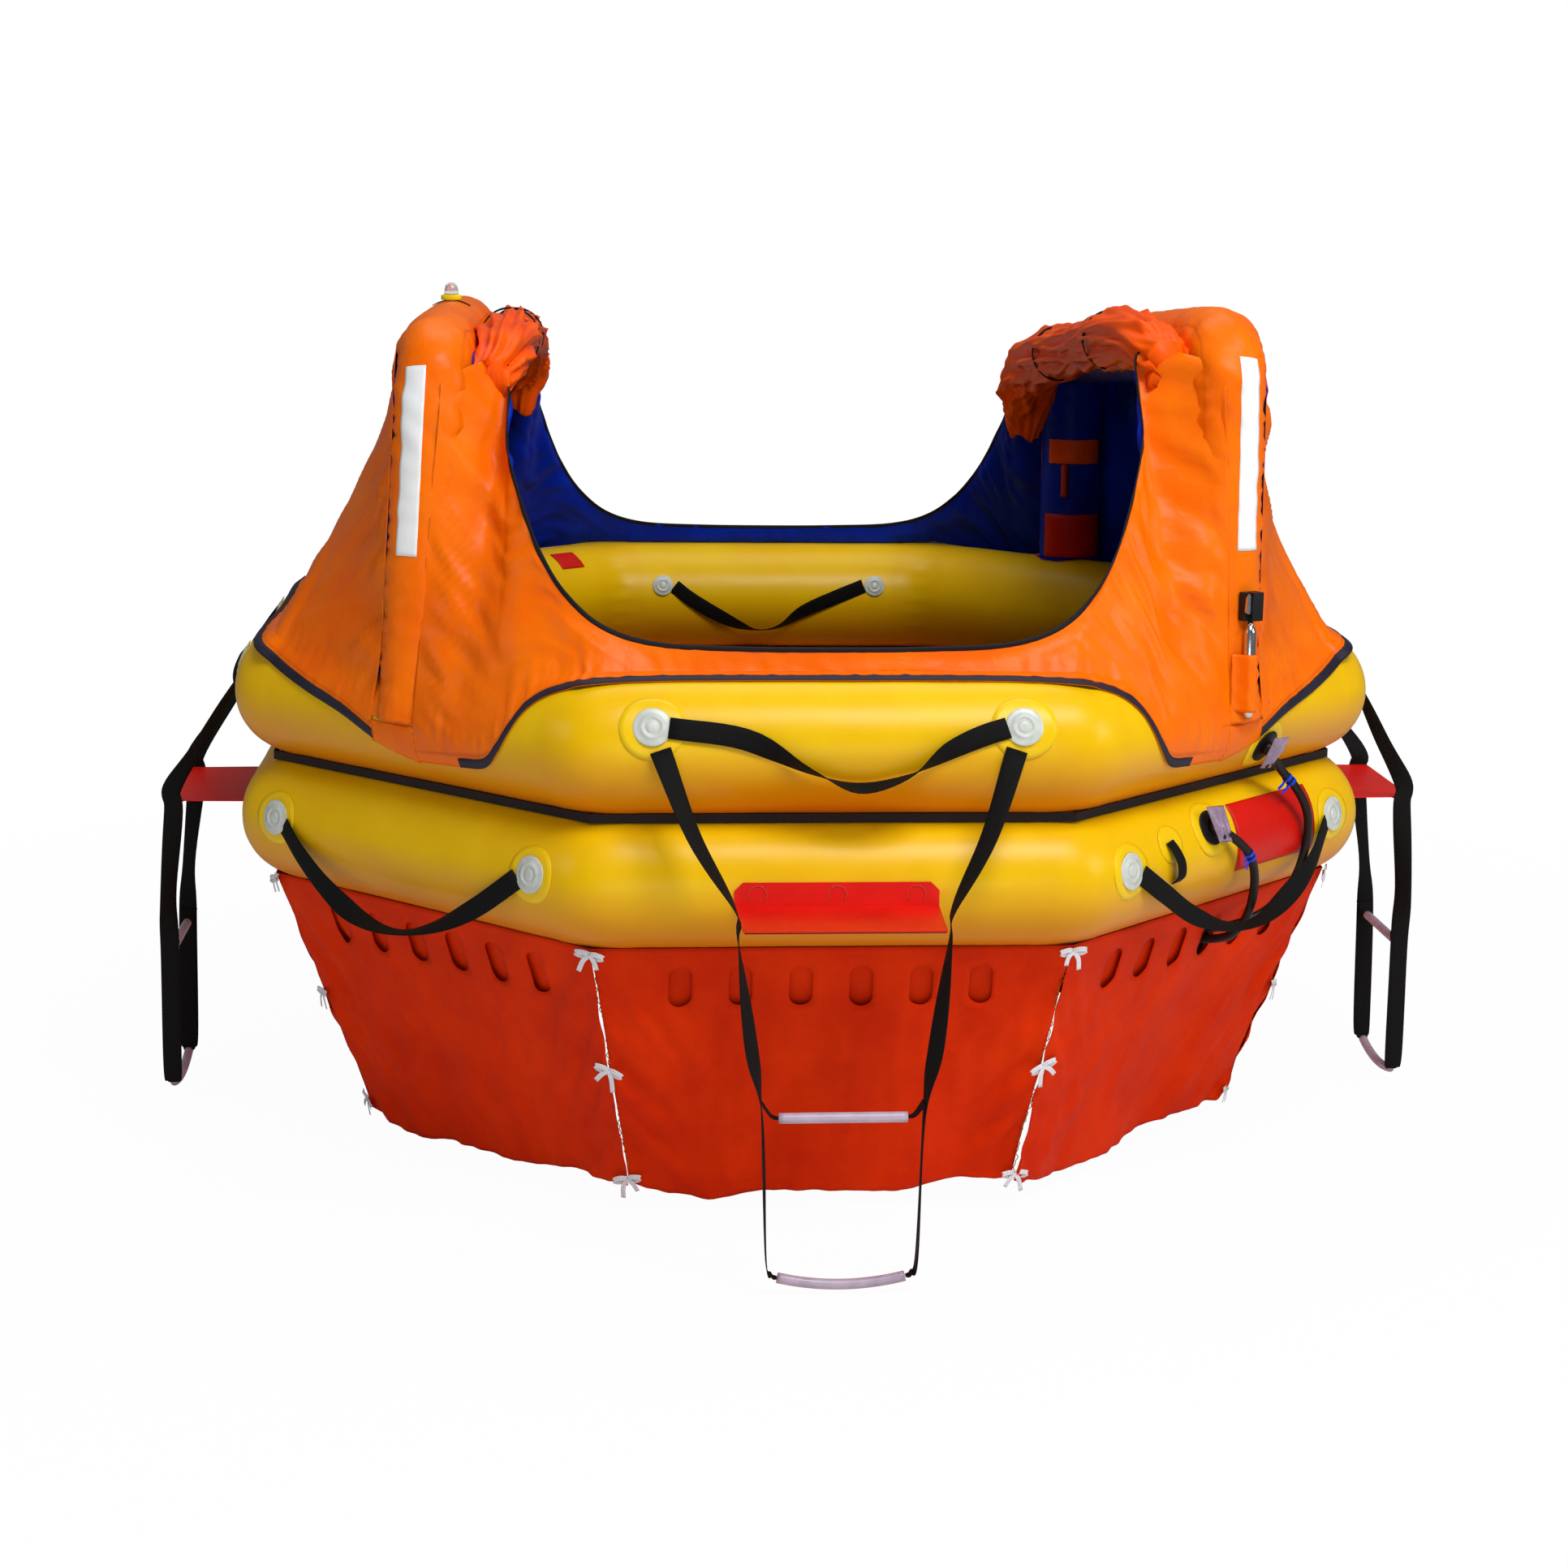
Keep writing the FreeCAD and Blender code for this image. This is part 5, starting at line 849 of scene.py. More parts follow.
def canopy_panel(name, lines, node, seed, pulled):
    """A panel with its lining, wrinkled where it is pulled, and the tape along its lower edge."""
    grid = spline(np.array(lines), 14)
    u, v = lengths(grid)
    total, tall = u[-1, 0], v[:, -1:]
    share = v / tall
    ends = np.exp(-np.minimum(u, total - u) / 0.20)
    free = np.clip((v - 0.03) / 0.10, 0, 1) * np.clip((tall - v) / 0.05, 0, 1)
    lift = free * (0.0130 * ends + 0.0035) * ripple((u * 0.5 + v) * 15 * pulled, (u - 0.5 * v) * 3.2, seed)
    lift += free * (0.0085 * ends + 0.0022) * ripple((u * 0.7 + v * 0.8) * 34, (u - v) * 4.5, seed + 3)
    taped_zone = np.exp(-((v - 0.05) / 0.05) ** 2)
    lift += taped_zone * (v > 0.022) * 0.0030 * ripple(u * 46, v * 5, seed + 6)
    lift += free * 0.010 * ripple(u * 3.3, share * 1.6, seed + 9) * (1 - 0.7 * ends)
    sewn = np.clip(np.minimum(u, total - u) / 0.05, 0, 1)
    grid = grid + normals(grid) * (lift * sewn)[..., None]
    grid = off_tube(grid, True, WRAP - 0.0003)
    piece = grid_piece(name, grid, canopy_orange, np.stack([u, v], -1),
                       shade=np.exp(-((v - 0.030) / 0.0018) ** 2) * 0.5)
    piece.data.materials.append(lining_blue)
    i, j = len(grid) // 2, grid.shape[1] // 2
    faces_in = normals(grid)[i, j].dot(np.cross(grid[i, j + 1] - grid[i, j], grid[i + 1, j] - grid[i, j])) < 0
    if faces_in:
        piece.data.flip_normals()
    cloth = piece.modifiers.new("cloth", "SOLIDIFY")
    cloth.thickness, cloth.offset = 0.0012, -1
    cloth.material_offset, cloth.material_offset_rim = 1, 0
    part_of_raft(piece, "canopy_fabric", node)
    keep_rows = [i for i in range(len(grid)) if grid[i, 0, 2] > UPPER_Z - TUBE_R * 0.47]
    low = (grid + normals(grid) * 0.0016)[keep_rows[0]:keep_rows[-1] + 1, 0:4]
    tape = grid_piece(f"{name}_edge_tape", low, tape_dark,
                      np.stack([u, v], -1)[keep_rows[0]:keep_rows[-1] + 1, 0:4])
    skin = tape.modifiers.new("tape", "SOLIDIFY")
    skin.thickness, skin.offset = 0.001, 0
    part_of_raft(tape, "edge_tape", "canopy_edge_tape")
    return grid


WALL = {}
for name, end in (("front", -1), ("back", 1)):
    lines = wall_lines("left", end)[::-1] + wall_lines("right", end)[1:]
    grid = canopy_panel(f"wall_{name}", lines, f"canopy_{name}", 31 + end * 7, 1.0)
    WALL[name] = grid
    edge = grid[SEWN_ROWS:-SEWN_ROWS, -1]
    inner = grid[SEWN_ROWS:-SEWN_ROWS, -4]
    piece = strap(f"binding_{name}", edge[::4] * 0.5 + (edge[::4] * 0.75 + inner[::4] * 0.25) * 0.5,
                  (edge - inner)[::4], 0.011, 0.004,
                  binding_dark, 2)
    part_of_raft(piece, "edge_tape", f"opening_binding_{name}")
for side in ARCHES:
    WALL[side] = canopy_panel(f"panel_{side}", side_lines(side), f"canopy_{side}", 57 + ARCHES[side][0] * 9,
                              0.8)

# Flaps that close the canopy round the tube under each arch foot.
for facet in CORNER_FACETS:
    toward = 1 if facet in (1, 5) else -1
    rows = []
    for share in np.linspace(-0.13, 0.13, 13):
        low = np.interp(share, (-0.12, 0, 0.12), (-31, -25, -17)) - 1
        rows.append([on_share(facet, share * toward, turn, 0.0018 + 0.0008 * math.sin(turn * 0.9 + share * 70))
                     for turn in np.linspace(low, 0, 16)])
    piece = grid_piece(f"foot_flap_{facet}", np.array(rows), canopy_orange)
    flap = piece.modifiers.new("cloth", "SOLIDIFY")
    flap.thickness, flap.offset = 0.0012, 0
    part_of_raft(piece, "canopy_fabric", "canopy_corner_flaps")

# ---------------------------------------------------------------------------------------------
# Roof rolls: the two halves of the canopy roof, rolled up loosely along the arches and tied there
# with narrow black straps. The cloth bunches in long spiral folds and sags at the free ends.
# ---------------------------------------------------------------------------------------------
roll_orange = coated_cloth("proofed_nylon_orange_rolled", "#FF6200", "#F44C00", 0.4, 4, 0.15, 0.3, 30,
                           shine=0.12)
strap_black = woven("polyester_webbing_black", "#12100F", "#040303", 3)
for side, (hand, *_) in ARCHES.items():
    axis = arch_axis(side)
    radius = 0.064
    away = ARCH_R + radius + 0.0016
    line = [axis[4] + (axis[5] - axis[4]) * t + np.array([-hand * (away - 0.03 * (t < 0)), 0, drop])
            for t, drop in ((-0.045, -0.058), (0.07, -0.004), (0.28, 0.010), (0.5, 0.0), (0.7, -0.010),
                            (0.9, -0.035), (0.985, -0.110), (1.0, -0.225))]
    swell = np.array([0.75 if hand < 0 else 1.0, 1.0, 1.1, 0.95, 1.1, 1.15, 1.15, 0.6]) * radius
    centre, fat = spline(line, 26), spline(swell, 26)
    columns = 80
    turn = 2 * np.pi * np.arange(columns) / columns
    grid = np.zeros((len(centre), columns, 3))
    far = np.linspace(0, 1, len(centre))
    t_far, t_turn = np.meshgrid(far, turn, indexing="ij")
    tied = np.exp(-((t_far - 0.335) / 0.03) ** 2) + np.exp(-((t_far - 0.665) / 0.03) ** 2)
    folds = np.abs(ripple(np.cos(t_turn + t_far * 2.2) * 2.0 + 5,
                          np.sin(t_turn + t_far * 2.2) * 2.0 + t_far * 5, 3 + hand))
    creases = ripple(np.cos(t_turn + 1) * 4.2, np.sin(t_turn) * 4.2 + t_far * 17, 8 + hand)
    shape = 1.05 - 0.42 * folds * (1 - 0.5 * tied) + 0.13 * creases - 0.10 * tied
    run = np.gradient(centre, axis=0)
    for i in range(len(centre)):
        along = unit(run[i])
        side_on = unit(np.array([1.0, 0, 0]) - along * along[0])
        over = np.cross(side_on, along)
        ring = np.cos(turn)[:, None] * side_on + np.sin(turn)[:, None] * over
        grid[i] = centre[i] + ring * (fat[i] * shape[i])[:,
                None] + along * (0.010 * np.sin(3 * turn + i * 0.2))[:, None]
    piece = grid_piece(f"roof_roll_{side}", grid, roll_orange, wrap=True, cap=True)
    part_of_raft(piece, "canopy_fabric", f"canopy_roll_{side}")
    for number, row in ((0, 2 * 26), (1, 4 * 26)):
        hoop = []
        for k in range(25):
            t = 2 * math.pi * k / 24
            hoop.append(centre[row] + np.array([math.cos(t), 0.0, math.sin(t)]) * (fat[row] * 0.965))
        tie = strap(f"roll_strap_{side}_{number}", hoop, [np.array([0, 1.0, 0.15])] * 25, 0.022, 0.0016,
                    strap_black, 2)
        part_of_raft(tie, "black_webbing", "canopy_roll_straps")

# ---------------------------------------------------------------------------------------------
# Patches: moulded polyurethane discs, cloudy white and slightly clear, welded on the tubes; the
# webbing is threaded under a raised bar across the middle.
# ---------------------------------------------------------------------------------------------
patch_white = bpy.data.materials.new("moulded_polyurethane_clear_white")
patch_white.use_nodes = True
tree = patch_white.node_tree
shader = tree.nodes["Principled BSDF"]
shader.inputs["Subsurface Weight"].default_value = 0.12
shader.inputs["Subsurface Radius"].default_value = (0.006, 0.006, 0.004)
shader.inputs["IOR"].default_value = 1.5
cloud = add(tree, "TexNoise", {"Vector": add(tree, "TexCoord").outputs["Object"], "Scale": 60.0, "Detail": 4.0})
milk = add(tree, "Mix", {0: cloud.outputs["Fac"], 6: linear("#AEB6AC"), 7: linear("#DDE0DA")}, data_type="RGBA")
tree.links.new(milk.outputs[2], shader.inputs["Base Color"])
wear = add(tree, "MapRange", {"Value": cloud.outputs["Fac"], "To Min": 0.22, "To Max": 0.42})
tree.links.new(wear.outputs[0], shader.inputs["Roughness"])


def turned(name, profile, origin, x_axis, y_axis, finish, sides=48, stretch=1.0):
    """A round moulding from its half section: (radius, height) from the middle of its top outward."""
    x_axis = unit(x_axis)
    up = unit(np.cross(x_axis, y_axis))
    y_axis = np.cross(up, x_axis)
    rows = []
    for radius, height in profile:
        rows.append([origin + x_axis * (radius * math.cos(t)) + y_axis * (radius * stretch * math.sin(t)) + up * height
                     for t in 2 * np.pi * np.arange(sides) / sides])
    return grid_piece(name, np.array(rows), finish, wrap=True, cap=True)


def tube_seat(facet, along, angle, upper, lift=0.0004):
    """Where a fitting stands on a tube: its foot, and its level and rising directions."""
    spot = on_tube(facet, along, angle, lift, upper)
    level = sideways(facet)
    face = unit(spot - on_tube(facet, along, angle, -TUBE_R, upper))
    return spot, level, np.cross(face, level)


PATCH = [(0.0005, 0.0058), (0.008, 0.0057), (0.0125, 0.0050), (0.0135, 0.0038), (0.0165, 0.0036),
         (0.018, 0.0050), (0.022, 0.0056),
         (0.0245, 0.0050), (0.0255, 0.0034), (0.034, 0.0028), (0.0385, 0.0020), (0.0400, 0.0010), (0.0402,
                 -0.0004)]


def welded_patch(name, facet, along, angle, upper, node, scale=1.0):
    spot, level, rising = tube_seat(facet, along, angle, upper)
    piece = turned(name, [(r * scale, h) for r, h in PATCH], spot, level, rising, patch_white)
    part_of_raft(piece, "moulded_patch", node)


for facet in SIDE_FACETS:
    for number, along in enumerate((-0.382, 0.382)):
        welded_patch(f"ladder_patch_{facet}_{number}", facet, along, 23, True, "ladder_patches")
for facet in CORNER_FACETS:
    for number, along in enumerate((-0.412, 0.412)):
        welded_patch(f"lifeline_patch_{facet}_{number}", facet, along, 9, False, "lifeline_patches")
for number, along in enumerate((-0.300, 0.300)):
    welded_patch(f"inner_patch_{number}", 4, along, 163, True, "inner_patches", 0.725)

# ---------------------------------------------------------------------------------------------
# Lifelines: black polyester webbing 45 mm wide, sewn to the patches and left slack, so that each
# length turns on edge at its lowest point.
# ---------------------------------------------------------------------------------------------
WIDE, THICK = 0.045, 0.002
REST = TUBE_R * (1 - math.cos(math.radians(11))) + THICK


def tube_face(facet, along, angle, upper):
    return unit(on_tube(facet, along, angle, 0, upper) - on_tube(facet, along, angle, -TUBE_R, upper))


def tube_line(facet, stations, upper):
    centres, across = [], []
    for along, angle, twist in stations:
        face = tube_face(facet, along, angle, upper)
        down = np.cross(face, sideways(facet))
        across.append(unit(down * (1 - twist) + face * twist))
        centres.append(on_tube(facet, along, angle, REST + across[-1].dot(face) * WIDE / 2, upper))
    return centres, across


SPREAD, RISE, LINE = 0.382, 23, 0.412
for facet in SIDE_FACETS:
    low, clear = RISE - 44, 0.034
    centres, across = tube_line(facet, [
        (-SPREAD + clear, RISE - 1, 0), (-0.5 * SPREAD, RISE - 10, 0.1), (-0.16 * SPREAD, low + 12, 0.6),
        (0.1 * SPREAD, low, 0.95), (0.36 * SPREAD, low + 8, 0.8), (0.58 * SPREAD, RISE - 19, 0.3),
        (0.76 * SPREAD, RISE - 8, 0.1), (SPREAD - clear, RISE - 1, 0)], True)
    part_of_raft(strap(f"upper_lifeline_{facet}", centres, across, WIDE, THICK, strap_black),
                 "black_webbing", "upper_lifelines")
rim, patch_z = LOWER_OUT + TUBE_R + THICK, LOWER_Z + TUBE_R * math.sin(math.radians(9))
for facet in CORNER_FACETS:
    tips = [(on_tube(facet, hand * (LINE - 0.034), 4, THICK + 0.0009, False),
             np.cross(sideways(facet), tube_face(facet, 0, 4, False))) for hand in (-1, 1)]
    route = [tips[0]]
    for share, drop, stand, twist in ((-0.74, 0.066, 0.014, 0.05), (-0.5, 0.128, 0.019, 0.2),
                                      (-0.2, 0.172, 0.021, 0.7),
                                      (0.08, 0.180, 0.022, 0.95), (0.36, 0.152, 0.022, 0.6), (0.66, 0.092,
                                              0.024, 0.15)):
        route.append((at(facet, share * LINE, rim + stand + twist * WIDE / 2, patch_z - drop),
                      np.array([0, 0, twist - 1.0]) + outward(facet) * twist))
    route.append(tips[1])
    part_of_raft(strap(f"lower_lifeline_{facet}", [p for p, _ in route], [a for _, a in route], WIDE, THICK,
                       strap_black),
                 "black_webbing", "lower_lifelines")
route = [(-0.268, 0.485, 0.05), (-0.225, 0.452, 0.1), (-0.156, 0.410, 0.2), (-0.087, 0.376, 0.5),
         (-0.030, 0.361, 0.85),
         (0.03, 0.372, 0.7), (0.097, 0.416, 0.3), (0.189, 0.456, 0.1), (0.268, 0.487, 0.05)]
centres, across = [], []
for x, z, twist in route:
    tilt = math.asin(max(-0.95, min(0.95, (z - UPPER_Z) / (TUBE_R + 0.012))))
    centres.append(np.array([x, UPPER_OUT - (TUBE_R + 0.006 + twist * WIDE / 2) * math.cos(tilt), z]))
    across.append(np.array([0, 0, 1.0 - twist]) + np.array([0, -1.0, 0]) * twist)
part_of_raft(strap("inner_lifeline_webbing", centres, across, WIDE * 0.9, THICK, strap_black),
             "black_webbing", "inner_lifeline")

# ---------------------------------------------------------------------------------------------
# Boarding ladders: webbing from the upper tube down past a welded step of coated red cloth, then
# two rungs of webbing drawn through pale flexible tube.
# ---------------------------------------------------------------------------------------------
step_red = coated_cloth("coated_cloth_red", "#EA1C10", "#CF1008", 0.4, 5, 0.15, 0.2, 60)
stitch_pale = woven("stitching_red", "#F08A7A", "#B33322", 2)
rung_lilac = bpy.data.materials.new("flexible_pvc_tube_lilac")
rung_lilac.use_nodes = True
tree = rung_lilac.node_tree
shader = tree.nodes["Principled BSDF"]
shader.inputs["Subsurface Weight"].default_value = 0.2
shader.inputs["IOR"].default_value = 1.5
cloud = add(tree, "TexNoise", {"Vector": add(tree, "TexCoord").outputs["Object"], "Scale": 25.0, "Detail": 4.0})
milk = add(tree, "Mix", {0: cloud.outputs["Fac"], 6: linear("#8F7F96"), 7: linear("#D2C6D8")}, data_type="RGBA")
tree.links.new(milk.outputs[2], shader.inputs["Base Color"])
wear = add(tree, "MapRange", {"Value": cloud.outputs["Fac"], "To Min": 0.25, "To Max": 0.45})
tree.links.new(wear.outputs[0], shader.inputs["Roughness"])
keep_cad("ladder_steps", step_red)
STEP_OUT, STEP_Z, STEP_HALF, RUNG_HALF = LOWER_OUT + TUBE_R + 0.2153, 0.126, 0.213, 0.131
UP_RUNG, LOW_RUNG, SAG = -0.262, -0.600, 0.016
for facet in SIDE_FACETS:
    out = outward(facet)
    level = sideways(facet)
    for number, hand in enumerate((-1, 1)):
        beside = hand * STEP_HALF + (THICK / 2 + 0.0003) * hand
        route = [
            (on_tube(facet, hand * (SPREAD - 0.016), RISE - 18, REST - 0.0006), level * hand),
            (at(facet, hand * 0.300, STEP_OUT - 0.110, 0.294), level * hand + out),
            (at(facet, beside * 1.02, STEP_OUT - WIDE / 2, STEP_Z + 0.034), out),
            (at(facet, beside, STEP_OUT - WIDE / 2, STEP_Z - 0.026), out),
            (at(facet, hand * STEP_HALF * 0.88, STEP_OUT, UP_RUNG + 0.150), level * hand * 0.8 + out),
            (at(facet, hand * (RUNG_HALF + 0.034), STEP_OUT + 0.004, UP_RUNG + 0.010), out),
            (at(facet, hand * (RUNG_HALF + 0.024), STEP_OUT + 0.008, LOW_RUNG + 0.046), out),
            (at(facet, hand * (RUNG_HALF + 0.012), STEP_OUT + 0.008, LOW_RUNG + 0.006), out),
            (at(facet, hand * (RUNG_HALF + THICK / 2), STEP_OUT + 0.008, LOW_RUNG), out)]
        widths = [WIDE] * 7 + [WIDE * 0.7, WIDE * 0.42]
        side_web = strap(f"ladder_side_{facet}_{number}", [p for p, _ in route], [a for _, a in route],
                         widths, THICK, strap_black, 8)
        part_of_raft(side_web, "black_webbing", "ladder_webbing")
        tail = [at(facet, hand * (RUNG_HALF + spread), STEP_OUT + 0.002, UP_RUNG + lift)
                for spread, lift in ((0.033, 0.030), (0.015, 0.005), (THICK / 2, 0))]
        part_of_raft(strap(f"ladder_tail_{facet}_{number}", tail, [out] * 3,
                           [WIDE, WIDE * 0.7, WIDE * 0.42], THICK, strap_black, 5),
                     "black_webbing", "ladder_webbing")
    under = STEP_Z - 0.003 - 0.0003 - THICK / 2
    ends = [at(facet, x, STEP_OUT - WIDE / 2, under) for x in (-STEP_HALF + 0.010, 0, STEP_HALF - 0.010)]
    part_of_raft(strap(f"tread_web_{facet}", ends, [out] * 3, WIDE, THICK, strap_black, 5), "black_webbing",
                 "ladder_webbing")
    for place in (-0.165, 0, 0.165):
        arc = [at(facet, place + 0.019 * math.cos(t), LOWER_OUT + TUBE_R + 0.0042,
                  STEP_Z + 0.024 + 0.019 * math.sin(t))
               for t in np.radians(np.linspace(-40, 220, 14))]
        part_of_raft(round_line(f"step_stitch_{facet}_{int(place * 1000) + 200}", arc, 0.0008, stitch_pale,
                                2, 5), "step_fabric")
    straight = [at(facet, x, STEP_OUT + 0.002, UP_RUNG) for x in np.linspace(-RUNG_HALF, RUNG_HALF, 7)]
    bent = [at(facet, x, STEP_OUT + 0.008, LOW_RUNG - SAG * (1 - (x / RUNG_HALF) ** 2)) for x in np.linspace(-RUNG_HALF, RUNG_HALF, 9)]
    for label, points in (("upper", straight), ("lower", bent)):
        part_of_raft(round_line(f"rung_{label}_{facet}", points, 0.011, rung_lilac, 4, 24), "rung_plastic",
                     "ladder_rungs")

# ---------------------------------------------------------------------------------------------
# Inflation valves on the front right facets: a black rubber base welded on, a black fitting, and a
# clear film pouch folded over it, with a rubber hose from each down to the gas cylinder.
# ---------------------------------------------------------------------------------------------
rubber_black = coated_cloth("moulded_rubber_black", "#1B1718", "#0D0A0B", 0.5, 2, 0.2)
hose_black = coated_cloth("hose_rubber_black", "#241A16", "#120D0B", 0.4, 2, 0.25)
tie_blue = coated_cloth("nylon_tie_blue", "#1446F0", "#0A34C8", 0.3, 2, 0.1)
fitting_black = coated_cloth("moulded_nylon_black", "#1A181B", "#0E0D0F", 0.4, 2, 0.1)
film_clear = bpy.data.materials.new("vinyl_film_smoky")
film_clear.use_nodes = True
tree = film_clear.node_tree
shader = tree.nodes["Principled BSDF"]
shader.inputs["Alpha"].default_value = 0.86
shader.inputs["Coat Weight"].default_value = 0.4
cloud = add(tree, "TexNoise", {"Vector": add(tree, "TexCoord").outputs["Object"], "Scale": 30.0, "Detail": 3.0})
milk = add(tree, "Mix", {0: cloud.outputs["Fac"], 6: linear("#6C5270"), 7: linear("#B9A3BF")}, data_type="RGBA")
tree.links.new(milk.outputs[2], shader.inputs["Base Color"])
wear = add(tree, "MapRange", {"Value": cloud.outputs["Fac"], "To Min": 0.15, "To Max": 0.35})
tree.links.new(wear.outputs[0], shader.inputs["Roughness"])
BASE = [(0.0005, 0.0046), (0.020, 0.0046), (0.0225, 0.0030), (0.036, 0.0026), (0.0392, 0.0016),
        (0.0400, -0.0004)]
FITTING = [(0.0005, 0.024), (0.010, 0.024), (0.0125, 0.0225), (0.0130, 0.016), (0.0155, 0.0150),
           (0.0158, 0.006), (0.0158, 0.0)]
VALVES = (("lower", -0.090, 26, False), ("upper", 0.108, -27, True))
for label, along, angle, upper in VALVES:
    spot, level, rising = tube_seat(1, along, angle, upper)
    out = unit(np.cross(level, rising))
    part_of_raft(skin_disc(f"valve_reinforcement_{label}", 1, along, angle, upper, 0.064, 0.0004,
                           patch_yellow), "tube_fabric")
    part_of_raft(turned(f"valve_base_{label}", BASE, spot + out * 0.0006, level, rising, rubber_black),
                 "valve_rubber", "valve_bases")
    part_of_raft(turned(f"valve_fitting_{label}", FITTING, spot + out * 0.0052, level, rising,
                        fitting_black, 32), "black_plastic", "valve_fittings")
    # The pouch: a pillow of film, longer than wide, pinched where the snaps close it.
    rows = []
    for i in range(21):
        s = -1 + i / 10
        row = []
        for j in range(21):
            t = -1 + j / 10
            bulge = (1 - s ** 4) * (1 - t ** 4)
            wide = 0.030 * (1 + 0.16 * s) * (1 - 0.06 * abs(t) ** 3)
            crumple = noise.noise(Vector((s * 1.8, t * 2.4, 3 + along * 9))) * 0.006
            row.append(spot + level * (t * wide + 0.003 * s) + rising * (s * 0.041 - 0.003 * t)
                       + out * (0.0275 + 0.009 * bulge + crumple * bulge))
        rows.append(row)
    pouch = grid_piece(f"valve_pouch_{label}", np.array(rows), film_clear)
    film = pouch.modifiers.new("film", "SOLIDIFY")
    film.thickness, film.offset = 0.0012, 0
    part_of_raft(pouch, "cover_film", "valve_covers")
    for number, (s, t) in enumerate(((-0.72, -0.45), (-0.72, 0.45))):
        place = spot + level * (t * 0.028) + rising * (s * 0.041) + out * 0.0350
        snap = [(0.0003, 0.0022), (0.0035, 0.0020), (0.0055, 0.0012), (0.0060, -0.0010)]
        part_of_raft(turned(f"snap_{label}_{number}", snap, place, level, rising, fitting_black, 20),
                     "black_plastic")

HOSES = {
    "upper": [(122, 1310.4, 356), (173, 1304, 312), (222, 1326, 262), (262, 1335, 196), (282, 1319, 118),
              (250, 1313, 42),
              (168, 1302, -12), (92, 1258, -46), (68, 1180, -62), (66, 1122.7, -64)],
    "lower": [(-76, 1314.5, 212), (-26, 1343, 177), (28, 1340, 118), (56, 1324, 42), (58, 1300, -32),
              (56, 1238, -82), (56, 1122.9, -88)]}
for label, route in HOSES.items():
    points = [at(1, a / 1000, o / 1000, z / 1000) for a, o, z in route]
    curve = bpy.data.curves.new(f"hose_{label}", "CURVE")
    curve.dimensions = "3D"
    line = curve.splines.new("NURBS")
    line.points.add(len(points) - 1)
    for k, p in enumerate(points):
        line.points[k].co = (*p, 1)
    line.order_u = 3
    line.use_endpoint_u = True
    line.resolution_u = 10
    curve.bevel_depth, curve.bevel_resolution, curve.use_fill_caps = 0.010, 6, True
    curve.materials.append(hose_black)
    hose = bpy.data.objects.new(f"hose_{label}", curve)
    scene.collection.objects.link(hose)
    part_of_raft(hose, "hose_rubber", f"{label}_hose")
    near, far = points[1], points[2]
    run = unit(far - near)
    side = unit(np.cross(run, (0, 0, 1)))
    over = np.cross(run, side)
    for number, share in enumerate((0.42, 0.62)):
        centre = near + (far - near) * share
        hoop = [centre + (side * math.cos(t) + over * math.sin(t)) * 0.0112 for t in 2 * np.pi * np.arange(21) / 20]
        part_of_raft(strap(f"hose_tie_{label}_{number}", hoop, [run] * 21, 0.008, 0.0012, tie_blue, 2),
                     "tie_plastic", "hose_ties")
        tag = [centre + over * 0.011, centre + over * 0.020 + run * 0.002,
               centre + over * 0.036 + side * 0.006 - run * 0.004]
        part_of_raft(strap(f"tie_tag_{label}_{number}", tag, [run] * 3, 0.007, 0.0012, tie_blue, 4),
                     "tie_plastic")

cylinder_red = coated_cloth("enamelled_steel_red", "#B8160F", "#A8120C", 0.25, 3, 0.05)
keep_cad("gas_cylinder", cylinder_red)
brass = bpy.data.materials.new("machined_brass")
brass.use_nodes = True
tree = brass.node_tree
shader = tree.nodes["Principled BSDF"]
shader.inputs["Metallic"].default_value = 1.0
cloud = add(tree, "TexNoise", {"Vector": add(tree, "TexCoord").outputs["Object"], "Scale": 90.0, "Detail": 4.0})
tint = add(tree, "Mix", {0: cloud.outputs["Fac"], 6: linear("#A07A34"), 7: linear("#CFA85A")}, data_type="RGBA")
tree.links.new(tint.outputs[2], shader.inputs["Base Color"])
wear = add(tree, "MapRange", {"Value": cloud.outputs["Fac"], "To Min": 0.22, "To Max": 0.4})
tree.links.new(wear.outputs[0], shader.inputs["Roughness"])
keep_cad("cylinder_valve", brass)

# Painter loop: a short loop of webbing on its own welded patch, beside the lower valve.
loop = [(24, 1), (16, 9), (6, 17), (-4, 15), (-11, 1)]
centres = [on_tube(1, -0.258 + 0.004 * i, angle, (lift + 2) / 1000, False) for i,
           (angle, lift) in enumerate(loop)]
part_of_raft(strap("painter_loop_webbing", centres, [sideways(1)] * 5, 0.032, THICK, strap_black),
             "black_webbing", "painter_loop")
part_of_raft(skin_disc("painter_patch", 1, -0.252, 22, False, 0.042, 0.0004, patch_yellow), "tube_fabric")

# ---------------------------------------------------------------------------------------------
# Canopy inflator on the right front leg: a black moulded head with a chromed pull lever, a small
# chromed gas cartridge screwed up into it, and a sewn pocket that holds the cartridge.
# ---------------------------------------------------------------------------------------------
chrome = bpy.data.materials.new("chromed_steel")
chrome.use_nodes = True
tree = chrome.node_tree
shader = tree.nodes["Principled BSDF"]
shader.inputs["Metallic"].default_value = 1.0
cloud = add(tree, "TexNoise", {"Vector": add(tree, "TexCoord").outputs["Object"], "Scale": 120.0,
                               "Detail": 4.0})
tint = add(tree, "Mix", {0: cloud.outputs["Fac"], 6: linear("#B9BBC0"), 7: linear("#DFE1E5")}, data_type="RGBA")
tree.links.new(tint.outputs[2], shader.inputs["Base Color"])
wear = add(tree, "MapRange", {"Value": cloud.outputs["Fac"], "To Min": 0.1, "To Max": 0.22})
